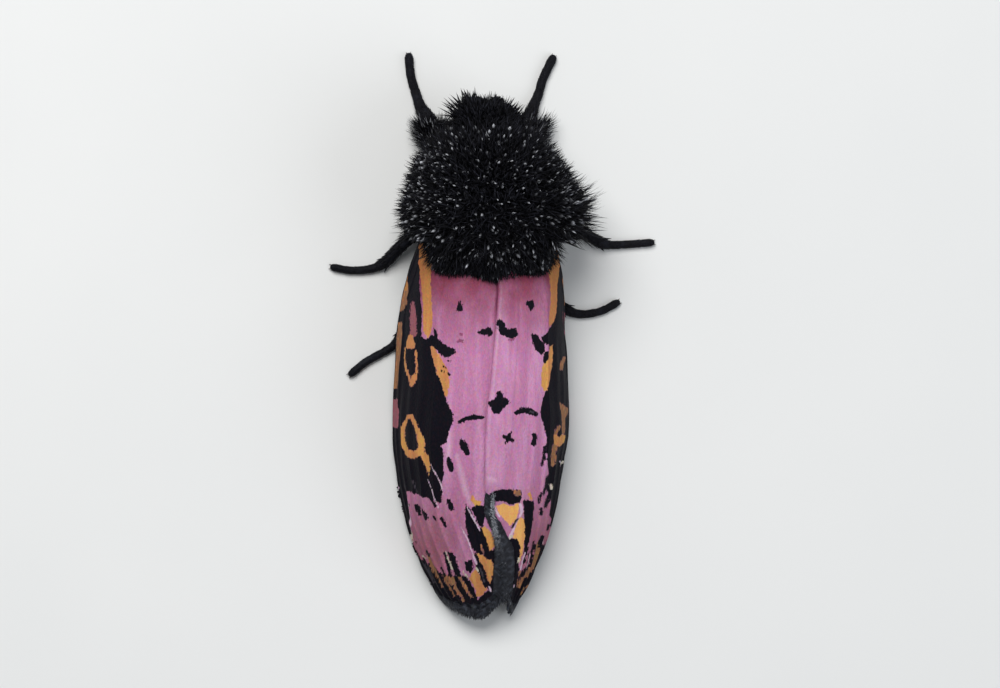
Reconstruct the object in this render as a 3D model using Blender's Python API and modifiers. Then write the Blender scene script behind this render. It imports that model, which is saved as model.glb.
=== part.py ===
"""A Spanish moth at rest, life size, with its wings folded over its back like an upturned boat.

The head points to -Y, the wing tips to +Y and the back to +Z. +X is the moth's own left. The six feet and
the lower edges of both forewings stand on the plane z = 0. Run it with blender --background --python part.py.
"""

import math
import random

import bmesh
import bpy
from mathutils import Matrix, Vector

MM = 0.001
GAP = 0.3 * MM  # air between one piece and the next
SHARP_ANGLE = math.radians(35)
LEFT, RIGHT = 1, -1
SIDE_NAMES = {LEFT: "left", RIGHT: "right"}

# Body
THORAX_MIDDLE = Vector((0, -6.6 * MM, 3.9 * MM))
THORAX_RADII = Vector((3.3 * MM, 3.2 * MM, 2.9 * MM))
HEAD_MIDDLE = Vector((0, -10.0 * MM, 3.1 * MM))
HEAD_RADII = Vector((1.6 * MM, 1.35 * MM, 1.5 * MM))
NECK_Y = -8.9 * MM
WAIST_Y = -4.0 * MM
ABDOMEN_END_Y = 9.6 * MM
ABDOMEN_SEGMENTS = 8
ABDOMEN_SIDES = 16
ABDOMEN_WIDTH, ABDOMEN_DEPTH = 2.1 * MM, 1.68 * MM  # half of each
ABDOMEN_Z, WAIST_RISE, END_SINK = 2.4 * MM, 0.55 * MM, 0.75 * MM
JOINT_FULLNESS, END_FULLNESS = 0.955, 0.17
EYE_MIDDLE = Vector((1.25 * MM, -10.25 * MM, 2.95 * MM))
EYE_RADIUS = 0.8 * MM

# Folded wings: an arch over the body that narrows and sinks to the rear
ARCH_HALF_WIDTH = 4.43 * MM
ARCH_HEIGHT = 6.0 * MM
ARCH_WIDEST_Y = 3.2 * MM
ARCH_NOSE_Y = 14.6 * MM
RIDGE_FALL_Y = 1.0 * MM
RIDGE_END_Y = 14.9 * MM
ARCH_SQUARENESS = 2.6
FRONT_NARROWING = 11.1  # half width lost for each square metre of distance ahead of the widest place
WING_THICKNESS = 0.5 * MM
VEIN_HEIGHT = 0.14 * MM
VEIN_HALF_WIDTH = 0.016  # as a share of the way across the wing
FOREWING_FRONT_Y = -5.8 * MM
HINDWING_FRONT_Y = -4.9 * MM
HINDWING_END_Y = 10.9 * MM
SEAM_SHIFT = 1.0 * MM  # how far the left wing crosses the middle line at the rear
SEAM_SHIFT_YS = (7.8 * MM, 12.5 * MM)
WING_TIPS = {LEFT: (0.35, 14.08 * MM, 0.85 * MM), RIGHT: (0.25, 13.85 * MM, 0.7 * MM)}  # across, y, notch depth
TIP_ROUNDING = 0.35 * MM
LOWER_EDGE_YS = (1.2 * MM, 6 * MM)  # behind these the wing's lower edge comes down to the floor
SHOULDER_Y, SHOULDER_REACH, SHOULDER_RISE = -0.5 * MM, 5.1 * MM, 3.3 * MM  # and ahead of this it rises again
HINDWING_FOOT, HINDWING_FOOT_FALL, HINDWING_ROUNDING = 2.3 * MM, 0.9 * MM, 1.6 * MM
LEG_ROOM = 1.05 * MM  # height of the wing's lower edge where the hind legs pass under it

# Coat: flat tapered locks, each (length, width, thickness), that lie away from a crown
COAT = random.Random(3)
THORAX_ROOTS = 205
THORAX_LOCK = (2.5 * MM, 1.2 * MM, 0.52 * MM)
THORAX_CROWN = Vector((0, -7.7 * MM, 7.6 * MM))
CREST_REACH = (0.6 * MM, 2.4 * MM)  # locks stand up near the crown and lie down beyond this
CREST_STRETCH = -0.5
REAR_START_Y, REAR_FULL_Y = -7.6 * MM, -6.3 * MM  # over the wing bases the locks grow longer and flatter
REAR_STRETCH = 0.5
BROW_START_Y, BROW_FULL_Y = -7.4 * MM, -8.7 * MM  # and so they do beside the head
BROW_STRETCH = 0.2
HEAD_ROOTS = 104
HEAD_LOCK = (1.9 * MM, 0.95 * MM, 0.5 * MM)
HEAD_CROWN = Vector((0, -9.3 * MM, 4.9 * MM))
THIGH_LOCKS = 8
THIGH_LOCK = (1.65 * MM, 0.75 * MM, 0.5 * MM)
THIGH_FLOOR = 0.5 * MM
THIGH_SPAN = (0.34, 0.62)  # share of the fore leg's length that carries them
LOCK_SUNK = 0.5 * MM
LOCK_STATIONS = ((0.0, 0.8), (0.38, 1.0), (0.62, 0.85), (0.84, 0.5))  # share of the length and of the width
LOCK_LIFT = 0.08 * MM  # so that no lock grazes the space kept for the wings
LOCK_SPREAD = 0.3  # how far a lock strays sideways from the lie
RISE_START = (0.9, 0.35)  # heading of a lock at its root: share of the normal and of the lie
RISE_END = (0.4, 0.9)
REAR_RISE_END = (0.05, 1.0)
CREST_RISE_END = (1.0, 0.25)
THIGH_RISE_END = (0.35, 1.0)
COAT_FLOOR = 2.1 * MM  # no lock roots lower than a little above this
FACE_TOP = 3.3 * MM
HEAD_ROOM_MIDDLE = Vector((0, -10.5 * MM, 3.2 * MM))
HEAD_ROOM_RADII = Vector((2.9 * MM, 1.95 * MM, 2.9 * MM))
GOLDEN_ANGLE = math.pi * (3 - math.sqrt(5))
CORE_CLEARANCE = 1.012  # scale of the thorax that the room under the wings leaves whole
ROOM_END_Y = 1.5 * MM  # the coat never reaches so far back
ROOM_FLOOR = 1.3 * MM

MATERIALS = {
    "coat": ((0.012, 0.012, 0.016), 0.55),
    "chitin": ((0.015, 0.014, 0.014), 0.4),
    "eye": ((0.02, 0.012, 0.01), 0.15),
    "wing_pink": ((0.62, 0.27, 0.45), 0.6),
    "hindwing_grey": ((0.07, 0.065, 0.075), 0.7),
    "abdomen_grey": ((0.05, 0.045, 0.05), 0.75),
}


def clear_scene():
    for obj in list(bpy.data.objects):
        bpy.data.objects.remove(obj)


def material(name):
    found = bpy.data.materials.get(name)
    if found:
        return found
    colour, roughness = MATERIALS[name]
    made = bpy.data.materials.new(name)
    made.use_nodes = True
    shader = made.node_tree.nodes["Principled BSDF"]
    shader.inputs["Base Color"].default_value = (*colour, 1)
    shader.inputs["Roughness"].default_value = roughness
    shader.inputs["Metallic"].default_value = 0
    return made


def collection(name):
    found = bpy.data.collections.get(name)
    if not found:
        found = bpy.data.collections.new(name)
        bpy.context.scene.collection.children.link(found)
    return found


def add_object(name, data, group="spanish_moth"):
    obj = bpy.data.objects.new(name, data)
    collection(group).objects.link(obj)
    return obj


def mesh_from(name, vertices, faces, group="spanish_moth"):
    mesh = bpy.data.meshes.new(name)
    mesh.from_pydata([tuple(v) for v in vertices], [], faces)
    return add_object(name, mesh, group)


def bake(obj):
    """The object's mesh as its modifiers leave it, with the modifiers gone."""
    bpy.context.view_layer.update()
    graph = bpy.context.evaluated_depsgraph_get()
    obj.data = bpy.data.meshes.new_from_object(obj.evaluated_get(graph))
    obj.modifiers.clear()


def boolean(obj, operation, other, solver="EXACT"):
    """Joins or cuts with one object, or with every object of a collection."""
    modifier = obj.modifiers.new(operation.lower(), "BOOLEAN")
    modifier.operation = operation
    modifier.solver = solver
    if isinstance(other, bpy.types.Collection):
        modifier.operand_type = "COLLECTION"
        modifier.collection = other
    else:
        modifier.object = other
    bake(obj)


def cut_with(obj, cutter, solver="EXACT"):
    boolean(obj, "DIFFERENCE", cutter, solver)
    bpy.data.objects.remove(cutter)


def keep_largest(obj):
    """Leaves only the closed surface with the most volume."""
    mesh = bmesh.new()
    mesh.from_mesh(obj.data)
    left = set(mesh.faces)
    islands = []
    while left:
        island, front = set(), [left.pop()]
        while front:
            face = front.pop()
            island.add(face)
            for edge in face.edges:
                for near in edge.link_faces:
                    if near in left:
                        left.remove(near)
                        front.append(near)
        islands.append(island)
    islands.sort(key=volume_of, reverse=True)
    loose = [face for island in islands[1:] for face in island]
    bmesh.ops.delete(mesh, geom=loose, context="FACES")
    mesh.to_mesh(obj.data)
    mesh.free()


def volume_of(faces):
    total = 0.0
    for face in faces:
        first = face.verts[0].co
        for one, two in zip(face.verts[1:], face.verts[2:]):
            total += first.dot(one.co.cross(two.co)) / 6
    return total


def ellipsoid(name, middle, radii, segments, rings, group="spanish_moth"):
    mesh = bmesh.new()
    bmesh.ops.create_uvsphere(mesh, u_segments=segments, v_segments=rings, radius=1)
    mesh.transform(Matrix.Translation(middle) @ Matrix.Diagonal((*radii, 1)))
    data = bpy.data.meshes.new(name)
    mesh.to_mesh(data)
    mesh.free()
    return add_object(name, data, group)


def flat_cut(obj, place, away):
    """Cuts the object flat at a place and drops what lies on the side that the direction points to."""
    mesh = bmesh.new()
    mesh.from_mesh(obj.data)
    bmesh.ops.bisect_plane(
        mesh,
        geom=mesh.verts[:] + mesh.edges[:] + mesh.faces[:],
        dist=1e-8,
        plane_co=place,
        plane_no=away,
        clear_outer=True,
    )
    rim = [edge for edge in mesh.edges if edge.is_boundary]
    bmesh.ops.edgeloop_fill(mesh, edges=rim)
    bmesh.ops.recalc_face_normals(mesh, faces=mesh.faces[:])
    mesh.to_mesh(obj.data)
    mesh.free()


def fuse(obj, pieces):
    """Joins the object and every closed mesh of a collection with one Boolean, then empties the collection.

    The exact solver leaves open edges where many locks cross, so the manifold one joins them.
    """
    boolean(obj, "UNION", pieces, "MANIFOLD")
    for piece in list(pieces.objects):
        bpy.data.objects.remove(piece)
    bpy.data.collections.remove(pieces)


def smooth_path(points, steps):
    """Points along a Catmull-Rom curve through the given ones, with their radii as a fourth value."""
    ends = [points[0], *points, points[-1]]
    path = []
    for i in range(len(points) - 1):
        a, b, c, d = (Vector(p) for p in ends[i : i + 4])
        for step in range(steps):
            t = step / steps
            path.append(
                0.5
                * (2 * b + (c - a) * t + (2 * a - 5 * b + 4 * c - d) * t**2 + (3 * b - a - 3 * c + d) * t**3)
            )
    path.append(Vector(points[-1]))
    return path


def tube(name, waypoints, steps=2, grow=0.0, sides_level=2, group="spanish_moth"):
    """A round tube through (x, y, z, radius) waypoints, made a mesh, with its underside flat at z = 0."""
    path = smooth_path(waypoints, steps)
    widest = max(p[3] for p in path) + grow
    curve = bpy.data.curves.new(name, "CURVE")
    curve.dimensions = "3D"
    curve.bevel_depth = widest
    curve.bevel_resolution = sides_level
    curve.use_fill_caps = True
    spline = curve.splines.new("POLY")
    spline.points.add(len(path) - 1)
    for point, p in zip(spline.points, path):
        point.co = (p[0], p[1], p[2], 1)
        point.radius = (p[3] + grow) / widest
    guide = add_object(name + "_guide", curve, group)
    bpy.context.view_layer.update()
    graph = bpy.context.evaluated_depsgraph_get()
    mesh = bpy.data.meshes.new_from_object(guide.evaluated_get(graph))
    bpy.data.objects.remove(guide)
    shape = bmesh.new()
    shape.from_mesh(mesh)
    bmesh.ops.remove_doubles(shape, verts=shape.verts, dist=0.001 * MM)
    if not grow:
        for vertex in shape.verts:
            vertex.co.z = max(vertex.co.z, 0)
    bmesh.ops.recalc_face_normals(shape, faces=shape.faces[:])
    shape.to_mesh(mesh)
    shape.free()
    mesh.name = name
    return add_object(name, mesh, group)


def smoothstep(low, high, value):
    t = min(max((value - low) / (high - low), 0), 1)
    return t * t * (3 - 2 * t)


# The arch that the folded wings follow


def arch_half_width(y):
    if y < ARCH_WIDEST_Y:
        return ARCH_HALF_WIDTH - FRONT_NARROWING * (y - ARCH_WIDEST_Y) ** 2
    share = min((y - ARCH_WIDEST_Y) / (ARCH_NOSE_Y - ARCH_WIDEST_Y), 0.999)
    return ARCH_HALF_WIDTH * (1 - share**2.1) ** 0.62


def arch_height(y):
    share = min(max((y - RIDGE_FALL_Y) / (RIDGE_END_Y - RIDGE_FALL_Y), 0), 0.999)
    return ARCH_HEIGHT * (1 - share**2) ** 0.75


def arch_point(y, angle, inset):
    """The point of the arch at y and at this angle, from 0 at the left foot to pi/2 at the ridge."""
    n = ARCH_SQUARENESS
    reach = (abs(math.cos(angle)) ** n + abs(math.sin(angle)) ** n) ** (-1 / n)
    x = (arch_half_width(y) - inset) * reach * math.cos(angle)
    z = (arch_height(y) - inset) * reach * math.sin(angle)
    return Vector((x, y, z))


def arch_angle_at(x_share):
    """The angle at which the arch's section has this share of its half width."""
    share = min(max(x_share, -0.97), 0.97)
    return math.atan2((1 - abs(share) ** ARCH_SQUARENESS) ** (1 / ARCH_SQUARENESS), share)


def seam_x(y):
    """Where the two forewings meet. It lies a little to the right of the middle at the rear."""
    return -SEAM_SHIFT * smoothstep(*SEAM_SHIFT_YS, y)


def lower_edge_z(y):
    ahead = max(0, (SHOULDER_Y - y) / SHOULDER_REACH)
    return LEG_ROOM * (1 - smoothstep(*LOWER_EDGE_YS, y)) + SHOULDER_RISE * ahead**1.6


def forewing_end_y(side, across):
    """How far back the wing reaches, which makes the notch between the two tips."""
    tip, tip_y, notch = WING_TIPS[side]
    if across < tip:
        return tip_y - notch * (1 - across / tip) ** 2
    return tip_y - TIP_ROUNDING * ((across - tip) / (1 - tip)) ** 2


def forewing_point(side, along, across, inset=0.0):
    """A point of the outer face: along runs from root to tip, across from the seam to the lower edge."""
    end = forewing_end_y(side, across)
    y = FOREWING_FRONT_Y + (end - FOREWING_FRONT_Y) * along
    width, height = arch_half_width(y) - inset, arch_height(y) - inset
    top = arch_angle_at((side * seam_x(y) + GAP / 2) / width)
    bottom = math.atan2(lower_edge_z(y) / height, 1)
    point = arch_point(y, top + (bottom - top) * across, inset)
    point.x *= side
    return point


def hindwing_point(side, along, across):
    """A point of the outer face of a hindwing, folded close under the forewing."""
    end = HINDWING_END_Y - HINDWING_ROUNDING * across**2
    y = HINDWING_FRONT_Y + (end - HINDWING_FRONT_Y) * along
    inset = WING_THICKNESS + GAP
    width, height = arch_half_width(y) - inset, arch_height(y) - inset
    top = arch_angle_at(GAP / 2 / width)
    bottom = math.atan2((HINDWING_FOOT - HINDWING_FOOT_FALL * along) / height, 1)
    point = arch_point(y, top + (bottom - top) * across, inset)
    point.x *= side
    return point


# Veins run at a share of the way across, from a start to the edge: (across, start along)
FOREWING_VEINS = (
    (0.15, 0.0),
    (0.30, 0.52),
    (0.41, 0.0),
    (0.52, 0.56),
    (0.62, 0.56),
    (0.72, 0.5),
    (0.82, 0.0),
    (0.93, 0.0),
)
CELL_END = 0.55  # where the cross vein closes the cell, along the forewing
CELL_SIDES = (0.41, 0.82)
FOREWING_ROWS = 11
HINDWING_VEINS = ((0.14, 0.0), (0.38, 0.0), (0.62, 0.0), (0.86, 0.0))
HINDWING_ROWS = 9


def rows_of(count, extra=()):
    even = [1 - (1 - i / count) ** 1.3 for i in range(count + 1)]
    return sorted(even + list(extra))


def columns_of(veins):
    columns = [0.0, 1.0]
    for across, _ in veins:
        columns += [across - VEIN_HALF_WIDTH, across, across + VEIN_HALF_WIDTH]
    return sorted(columns)


def vein_height(veins, along, across):
    for place, start in veins:
        if abs(across - place) < 1e-6:
            return VEIN_HEIGHT * (smoothstep(start, start + 0.08, along) if start else 1)
    return 0.0


def sheet(name, side, point_at, rows, columns):
    """A curved sheet of triangles with Solidify, so that both faces are split alike."""
    vertices = [point_at(side, along, across) for along in rows for across in columns]
    width = len(columns)
    faces = []
    for i in range(len(rows) - 1):
        for j in range(width - 1):
            a = i * width + j
            b, c, d = a + 1, a + width + 1, a + width
            faces += [(a, b, c), (a, c, d)]
    obj = mesh_from(name, vertices, faces if side == LEFT else [f[::-1] for f in faces])
    solidify = obj.modifiers.new("thickness", "SOLIDIFY")
    solidify.thickness = WING_THICKNESS
    solidify.offset = -1
    solidify.use_even_offset = True
    bake(obj)
    return obj


def raise_veins(obj, veins, rows, columns, cross_row=None):
    """Lifts the outer face's vertices that lie on a vein along their normals."""
    normals = [v.normal.copy() for v in obj.data.vertices]
    index = 0
    for along in rows:
        for across in columns:
            height = vein_height(veins, along, across)
            if cross_row and along == cross_row and CELL_SIDES[0] < across < CELL_SIDES[1]:
                height = VEIN_HEIGHT
            obj.data.vertices[index].co += normals[index] * height
            index += 1


def keep_to_side(obj, side, seam_at):
    """Moves what the thickness carried over the seam back to its own side, and onto the floor."""
    for vertex in obj.data.vertices:
        seam = seam_at(vertex.co.y) + side * GAP / 2
        if side * (vertex.co.x - seam) < 0:
            vertex.co.x = seam
        vertex.co.z = max(vertex.co.z, 0)


def forewing(side):
    name = f"forewing_{SIDE_NAMES[side]}"
    rows = rows_of(FOREWING_ROWS, (CELL_END - 0.008, CELL_END, CELL_END + 0.008))
    columns = columns_of(FOREWING_VEINS)
    obj = sheet(name, side, forewing_point, rows, columns)
    raise_veins(obj, FOREWING_VEINS, rows, columns, CELL_END)
    keep_to_side(obj, side, seam_x)
    cut_with(obj, grown_thorax())
    keep_largest(obj)
    obj.data.materials.append(material("wing_pink"))
    return obj


def hindwing(side):
    name = f"hindwing_{SIDE_NAMES[side]}"
    rows = rows_of(HINDWING_ROWS)
    columns = columns_of(HINDWING_VEINS)
    obj = sheet(name, side, hindwing_point, rows, columns)
    raise_veins(obj, HINDWING_VEINS, rows, columns)
    keep_to_side(obj, side, lambda y: 0)
    cut_with(obj, grown_thorax())
    keep_largest(obj)
    obj.data.materials.append(material("hindwing_grey"))
    return obj


def grown_thorax():
    radii = THORAX_RADII + Vector((GAP, GAP, GAP))
    return ellipsoid("thorax_room", THORAX_MIDDLE, radii, 24, 14, "cutters")


# Legs and feelers: waypoints from root to tip as (x, y, z, radius), in millimetres

LEGS = {
    "leg_fore_left": (
        (0.9, -8.0, 1.7, 0.42),
        (1.2, -8.25, 0.78, 0.42),
        (1.9, -8.9, 0.75, 0.40),
        (2.35, -9.8, 0.85, 0.38),
        (2.55, -10.7, 0.7, 0.36),
        (2.93, -11.3, 0.38, 0.28),
        (3.23, -12.2, 0.2, 0.22),
        (3.47, -13.05, 0.18, 0.21),
        (3.56, -13.98, 0.18, 0.205),
    ),
    "leg_fore_right": (
        (-0.9, -8.0, 1.7, 0.42),
        (-1.2, -8.25, 0.78, 0.42),
        (-1.8, -8.9, 0.75, 0.40),
        (-2.2, -9.8, 0.85, 0.38),
        (-2.4, -10.7, 0.7, 0.36),
        (-2.6, -11.3, 0.38, 0.28),
        (-2.95, -12.1, 0.2, 0.22),
        (-3.2, -12.9, 0.18, 0.21),
        (-3.68, -13.9, 0.18, 0.205),
    ),
    "leg_mid_left": (
        (0.95, -6.2, 1.6, 0.42),
        (1.35, -6.05, 0.72, 0.42),
        (2.4, -5.6, 0.75, 0.38),
        (3.5, -5.0, 0.85, 0.3),
        (4.15, -4.4, 0.7, 0.26),
        (4.75, -3.75, 0.34, 0.26),
        (5.4, -3.4, 0.19, 0.2),
        (6.45, -3.3, 0.16, 0.185),
        (7.35, -3.45, 0.16, 0.18),
    ),
    "leg_mid_right": (
        (-0.95, -6.4, 1.6, 0.42),
        (-1.35, -6.3, 0.72, 0.42),
        (-2.6, -6.1, 0.75, 0.38),
        (-4.0, -5.75, 0.9, 0.3),
        (-5.2, -5.15, 0.7, 0.24),
        (-6.1, -4.7, 0.34, 0.26),
        (-6.6, -4.58, 0.2, 0.2),
        (-7.6, -4.62, 0.16, 0.185),
        (-8.65, -4.7, 0.16, 0.18),
    ),
    "leg_hind_left": (
        (0.8, -5.0, 1.7, 0.40),
        (1.1, -4.7, 0.7, 0.40),
        (1.9, -3.4, 0.6, 0.36),
        (2.8, -2.0, 0.6, 0.3),
        (3.5, -0.9, 0.45, 0.25),
        (3.95, -0.1, 0.3, 0.24),
        (4.3, 0.4, 0.2, 0.2),
        (4.75, 0.72, 0.17, 0.185),
        (5.7, 1.25, 0.16, 0.185),
        (6.45, 1.85, 0.16, 0.18),
    ),
    "leg_hind_right": (
        (-0.8, -5.0, 1.7, 0.40),
        (-1.1, -4.7, 0.7, 0.40),
        (-1.9, -3.7, 0.6, 0.36),
        (-2.8, -2.75, 0.6, 0.3),
        (-3.6, -1.95, 0.45, 0.25),
        (-4.25, -1.4, 0.3, 0.25),
        (-5.05, -1.12, 0.18, 0.2),
        (-6.05, -1.25, 0.16, 0.185),
        (-6.92, -1.68, 0.16, 0.18),
    ),
}
ANTENNA = (
    (0.85, -9.8, 4.0, 0.3),
    (1.3, -9.75, 4.4, 0.3),
    (2.05, -9.45, 4.2, 0.28),
    (2.75, -9.0, 3.5, 0.27),
    (3.3, -8.4, 2.8, 0.26),
    (3.55, -7.4, 2.3, 0.26),
    (3.4, -6.0, 2.0, 0.26),
    (3.15, -4.5, 1.8, 0.25),
    (2.95, -3.0, 1.65, 0.25),
    (2.85, -1.5, 1.5, 0.24),
    (2.8, -0.2, 1.35, 0.2),
)
PALP = (
    (0.5, -10.6, 2.3, 0.28),
    (0.5, -11.1, 2.0, 0.33),
    (0.5, -11.5, 2.4, 0.32),
    (0.5, -11.6, 3.1, 0.2),
)


def in_metres(waypoints, side=LEFT):
    return [(side * x * MM, y * MM, z * MM, r * MM) for x, y, z, r in waypoints]


def add_thigh_locks(obj, name):
    """The furry thigh and shin of a fore leg, as locks that point forwards, outwards and up."""
    path = smooth_path(in_metres(LEGS[name]), 4)
    side = LEFT if path[-1][0] > 0 else RIGHT
    for i in range(THIGH_LOCKS):
        share = THIGH_SPAN[0] + (THIGH_SPAN[1] - THIGH_SPAN[0]) * i / (THIGH_LOCKS - 1)
        x, y, z, radius = path[round(share * (len(path) - 1))]
        tilt = math.radians(25 + 50 * (i % 3))
        out = LEFT if i % 2 else RIGHT
        normal = Vector((side * out * math.cos(tilt), 0, math.sin(tilt)))
        lie = Vector((side * 0.45, -1, 0)).normalized()
        root = Vector((x, y, z)) + normal * radius
        lock(f"lock_{i}", root, normal, lie, THIGH_LOCK, THIGH_RISE_END, name + "_locks", radius, THIGH_FLOOR)
    fuse(obj, collection(name + "_locks"))


def leg(name):
    obj = tube(name, in_metres(LEGS[name]))
    if name.startswith("leg_fore"):
        add_thigh_locks(obj, name)
    cut_with(obj, grown_thorax())
    keep_largest(obj)
    obj.data.materials.append(material("chitin"))
    return obj


def antenna(side):
    obj = tube(f"antenna_{SIDE_NAMES[side]}", in_metres(ANTENNA, side))
    obj.data.materials.append(material("chitin"))
    return obj


def palp(side):
    obj = tube(f"palp_{SIDE_NAMES[side]}", in_metres(PALP, side), steps=3)
    obj.data.materials.append(material("coat"))
    return obj


def eye(side):
    middle = Vector((side * EYE_MIDDLE.x, EYE_MIDDLE.y, EYE_MIDDLE.z))
    radii = Vector((EYE_RADIUS, EYE_RADIUS, EYE_RADIUS))
    obj = ellipsoid(f"eye_{SIDE_NAMES[side]}", middle, radii, 14, 9)
    obj.data.materials.append(material("eye"))
    return obj


def abdomen():
    """Rings of an oval section, full at each segment's middle and drawn in at its joints."""
    front, steps = WAIST_Y + GAP / 2, 2 * ABDOMEN_SEGMENTS
    rings = []
    for i in range(steps + 1):
        share = i / steps
        y = front + (ABDOMEN_END_Y - front) * share
        fullness = (1 - share**2.4) ** 0.6 * (0.84 + 0.16 * smoothstep(0, 0.25, share))
        fullness = max(fullness, END_FULLNESS) * (1.0 if i % 2 else JOINT_FULLNESS)
        lift = WAIST_RISE * (1 - smoothstep(0, 0.3, share)) - END_SINK * share**2
        middle = Vector((0, y, ABDOMEN_Z + lift))
        for k in range(ABDOMEN_SIDES):
            angle = 2 * math.pi * k / ABDOMEN_SIDES
            out = Vector((ABDOMEN_WIDTH * math.cos(angle), 0, ABDOMEN_DEPTH * math.sin(angle)))
            rings.append(middle + out * fullness)
    sides = ABDOMEN_SIDES
    faces = [tuple(range(sides)), tuple(reversed(range(steps * sides, (steps + 1) * sides)))]
    for i in range(steps):
        for k in range(sides):
            a, b = i * sides + k, i * sides + (k + 1) % sides
            faces += [(a, a + sides, b + sides, b)]
    obj = mesh_from("abdomen", rings, faces)
    shape = bmesh.new()
    shape.from_mesh(obj.data)
    bmesh.ops.recalc_face_normals(shape, faces=shape.faces[:])
    shape.to_mesh(obj.data)
    shape.free()
    obj.data.materials.append(material("abdomen_grey"))
    return obj


def wing_room():
    """The space under the folded wings and just above them, without the thorax, as one closed block."""
    air = GAP + VEIN_HEIGHT
    stations, sides = 12, 24
    front = FOREWING_FRONT_Y - air
    rings = []
    for i in range(stations + 1):
        y = front + (ROOM_END_Y - front) * i / stations
        for k in range(sides + 1):
            point = arch_point(y, math.pi * k / sides, -air)
            point.z = max(point.z, ROOM_FLOOR)
            rings.append(point)
    width = sides + 1
    faces = [tuple(range(width)), tuple(reversed(range(stations * width, (stations + 1) * width)))]
    for i in range(stations):
        for k in range(width):
            a, b = i * width + k, i * width + (k + 1) % width
            faces += [(a, a + width, b + width), (a, b + width, b)]
    room = mesh_from("wing_room", rings, faces, "cutters")
    shape = bmesh.new()
    shape.from_mesh(room.data)
    bmesh.ops.recalc_face_normals(shape, faces=shape.faces[:])
    shape.to_mesh(room.data)
    shape.free()
    core = ellipsoid("core_room", THORAX_MIDDLE, THORAX_RADII * CORE_CLEARANCE, 24, 14, "cutters")
    flat_cut(core, (0, WAIST_Y - GAP / 2, 0), (0, 1, 0))
    cut_with(room, core, "MANIFOLD")
    return room


def antenna_room(side):
    return tube("antenna_room", in_metres(ANTENNA, side), grow=GAP, group="cutters")


def palp_room(side):
    return tube("palp_room", in_metres(PALP, side), steps=3, grow=GAP, group="cutters")


def eye_room(side):
    middle = Vector((side * EYE_MIDDLE.x, EYE_MIDDLE.y, EYE_MIDDLE.z))
    reach = EYE_RADIUS + GAP
    return ellipsoid("eye_room", middle, Vector((reach, reach, reach)), 14, 9, "cutters")


def head_room():
    grown = HEAD_ROOM_RADII + Vector((GAP, GAP, GAP))
    return ellipsoid("head_room", HEAD_ROOM_MIDDLE, grown, 20, 12, "cutters")


def tangent_away(point, normal, crown):
    """The way the coat lies: along the surface, away from its crown."""
    away = point - crown
    away -= normal * away.dot(normal)
    return away.normalized()


def above_floor(place, heading, step, floor):
    """The heading, levelled out where it would carry a lock below this height."""
    steepest = max((floor - place.z) / max(step, GAP), -1)
    if heading.z < steepest:
        heading = Vector((heading.x, heading.y, min(steepest, 0.3)))
    return heading.normalized()


def clear_of_wings(place, air):
    """The place itself, or the nearest one that leaves this much air to the folded wings."""
    if place.y < FOREWING_FRONT_Y - air:
        return place
    wide, high = arch_half_width(place.y) + air, arch_height(place.y) + air
    reach = (abs(place.x) / wide) ** ARCH_SQUARENESS + (abs(place.z) / high) ** ARCH_SQUARENESS
    if reach >= 1:
        return place
    push = reach ** (-1 / ARCH_SQUARENESS)
    return Vector((place.x * push, place.y, place.z * push))


def lock(name, root, normal, lie, size, rise_end, group, sunk=LOCK_SUNK, floor=COAT_FLOOR):
    """A flat tapered lock, sunk into the surface, that rises and then bends over along the coat's lie."""
    length, width, thickness = size
    start = normal * RISE_START[0] + lie * RISE_START[1]
    end = normal * rise_end[0] + lie * rise_end[1]
    place = root - normal * sunk
    vertices, last = [], 0.0
    for share, fullness in (*LOCK_STATIONS, (1.0, 0.0)):
        step = length * (share - last)
        heading = above_floor(place, start.lerp(end, (share + last) / 2).normalized(), step, floor)
        place = place + heading * step
        if share > LOCK_STATIONS[1][0]:
            place = clear_of_wings(place, GAP + VEIN_HEIGHT + thickness / 2 + LOCK_LIFT)
        if fullness:
            across = heading.cross(normal).normalized()
            over = across.cross(heading)
            half_width, half_thickness = width / 2 * fullness, thickness / 2 * fullness**0.5
            vertices += [
                place + across * half_width,
                place + over * half_thickness,
                place - across * half_width,
                place - over * half_thickness,
            ]
        last = share
    vertices.append(place)
    rings = len(LOCK_STATIONS)
    faces = [(0, 1, 2, 3)]
    for i in range(rings - 1):
        for k in range(4):
            a, b = 4 * i + k, 4 * i + (k + 1) % 4
            faces += [(a, a + 4, b + 4), (a, b + 4, b)]
    for k in range(4):
        faces.append((4 * rings - 4 + k, 4 * rings, 4 * rings - 4 + (k + 1) % 4))
    return mesh_from(name, vertices, faces, group)


def spiral_roots(middle, radii, count):
    """Evenly spread points of an ellipsoid with their normals."""
    for i in range(count):
        height = 1 - (2 * i + 1) / count
        ring = math.sqrt(1 - height * height)
        angle = i * GOLDEN_ANGLE
        unit = Vector((ring * math.cos(angle), ring * math.sin(angle), height))
        point = middle + unit * radii
        normal = Vector((unit.x / radii.x, unit.y / radii.y, unit.z / radii.z)).normalized()
        yield point, normal


def inside(point, middle, radii):
    offset = point - middle
    return sum((offset[k] / radii[k]) ** 2 for k in range(3)) < 1


def under_wings(point):
    """Whether a root here would start under the wings or against their front edge."""
    if point.y < FOREWING_FRONT_Y - GAP - VEIN_HEIGHT:
        return False
    reach_x = abs(point.x) / (arch_half_width(point.y) + GAP + VEIN_HEIGHT)
    reach_z = point.z / (arch_height(point.y) + GAP + VEIN_HEIGHT)
    return reach_x**ARCH_SQUARENESS + reach_z**ARCH_SQUARENESS < 1


def mixed(first, second, share):
    return tuple(a + (b - a) * share for a, b in zip(first, second))


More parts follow.
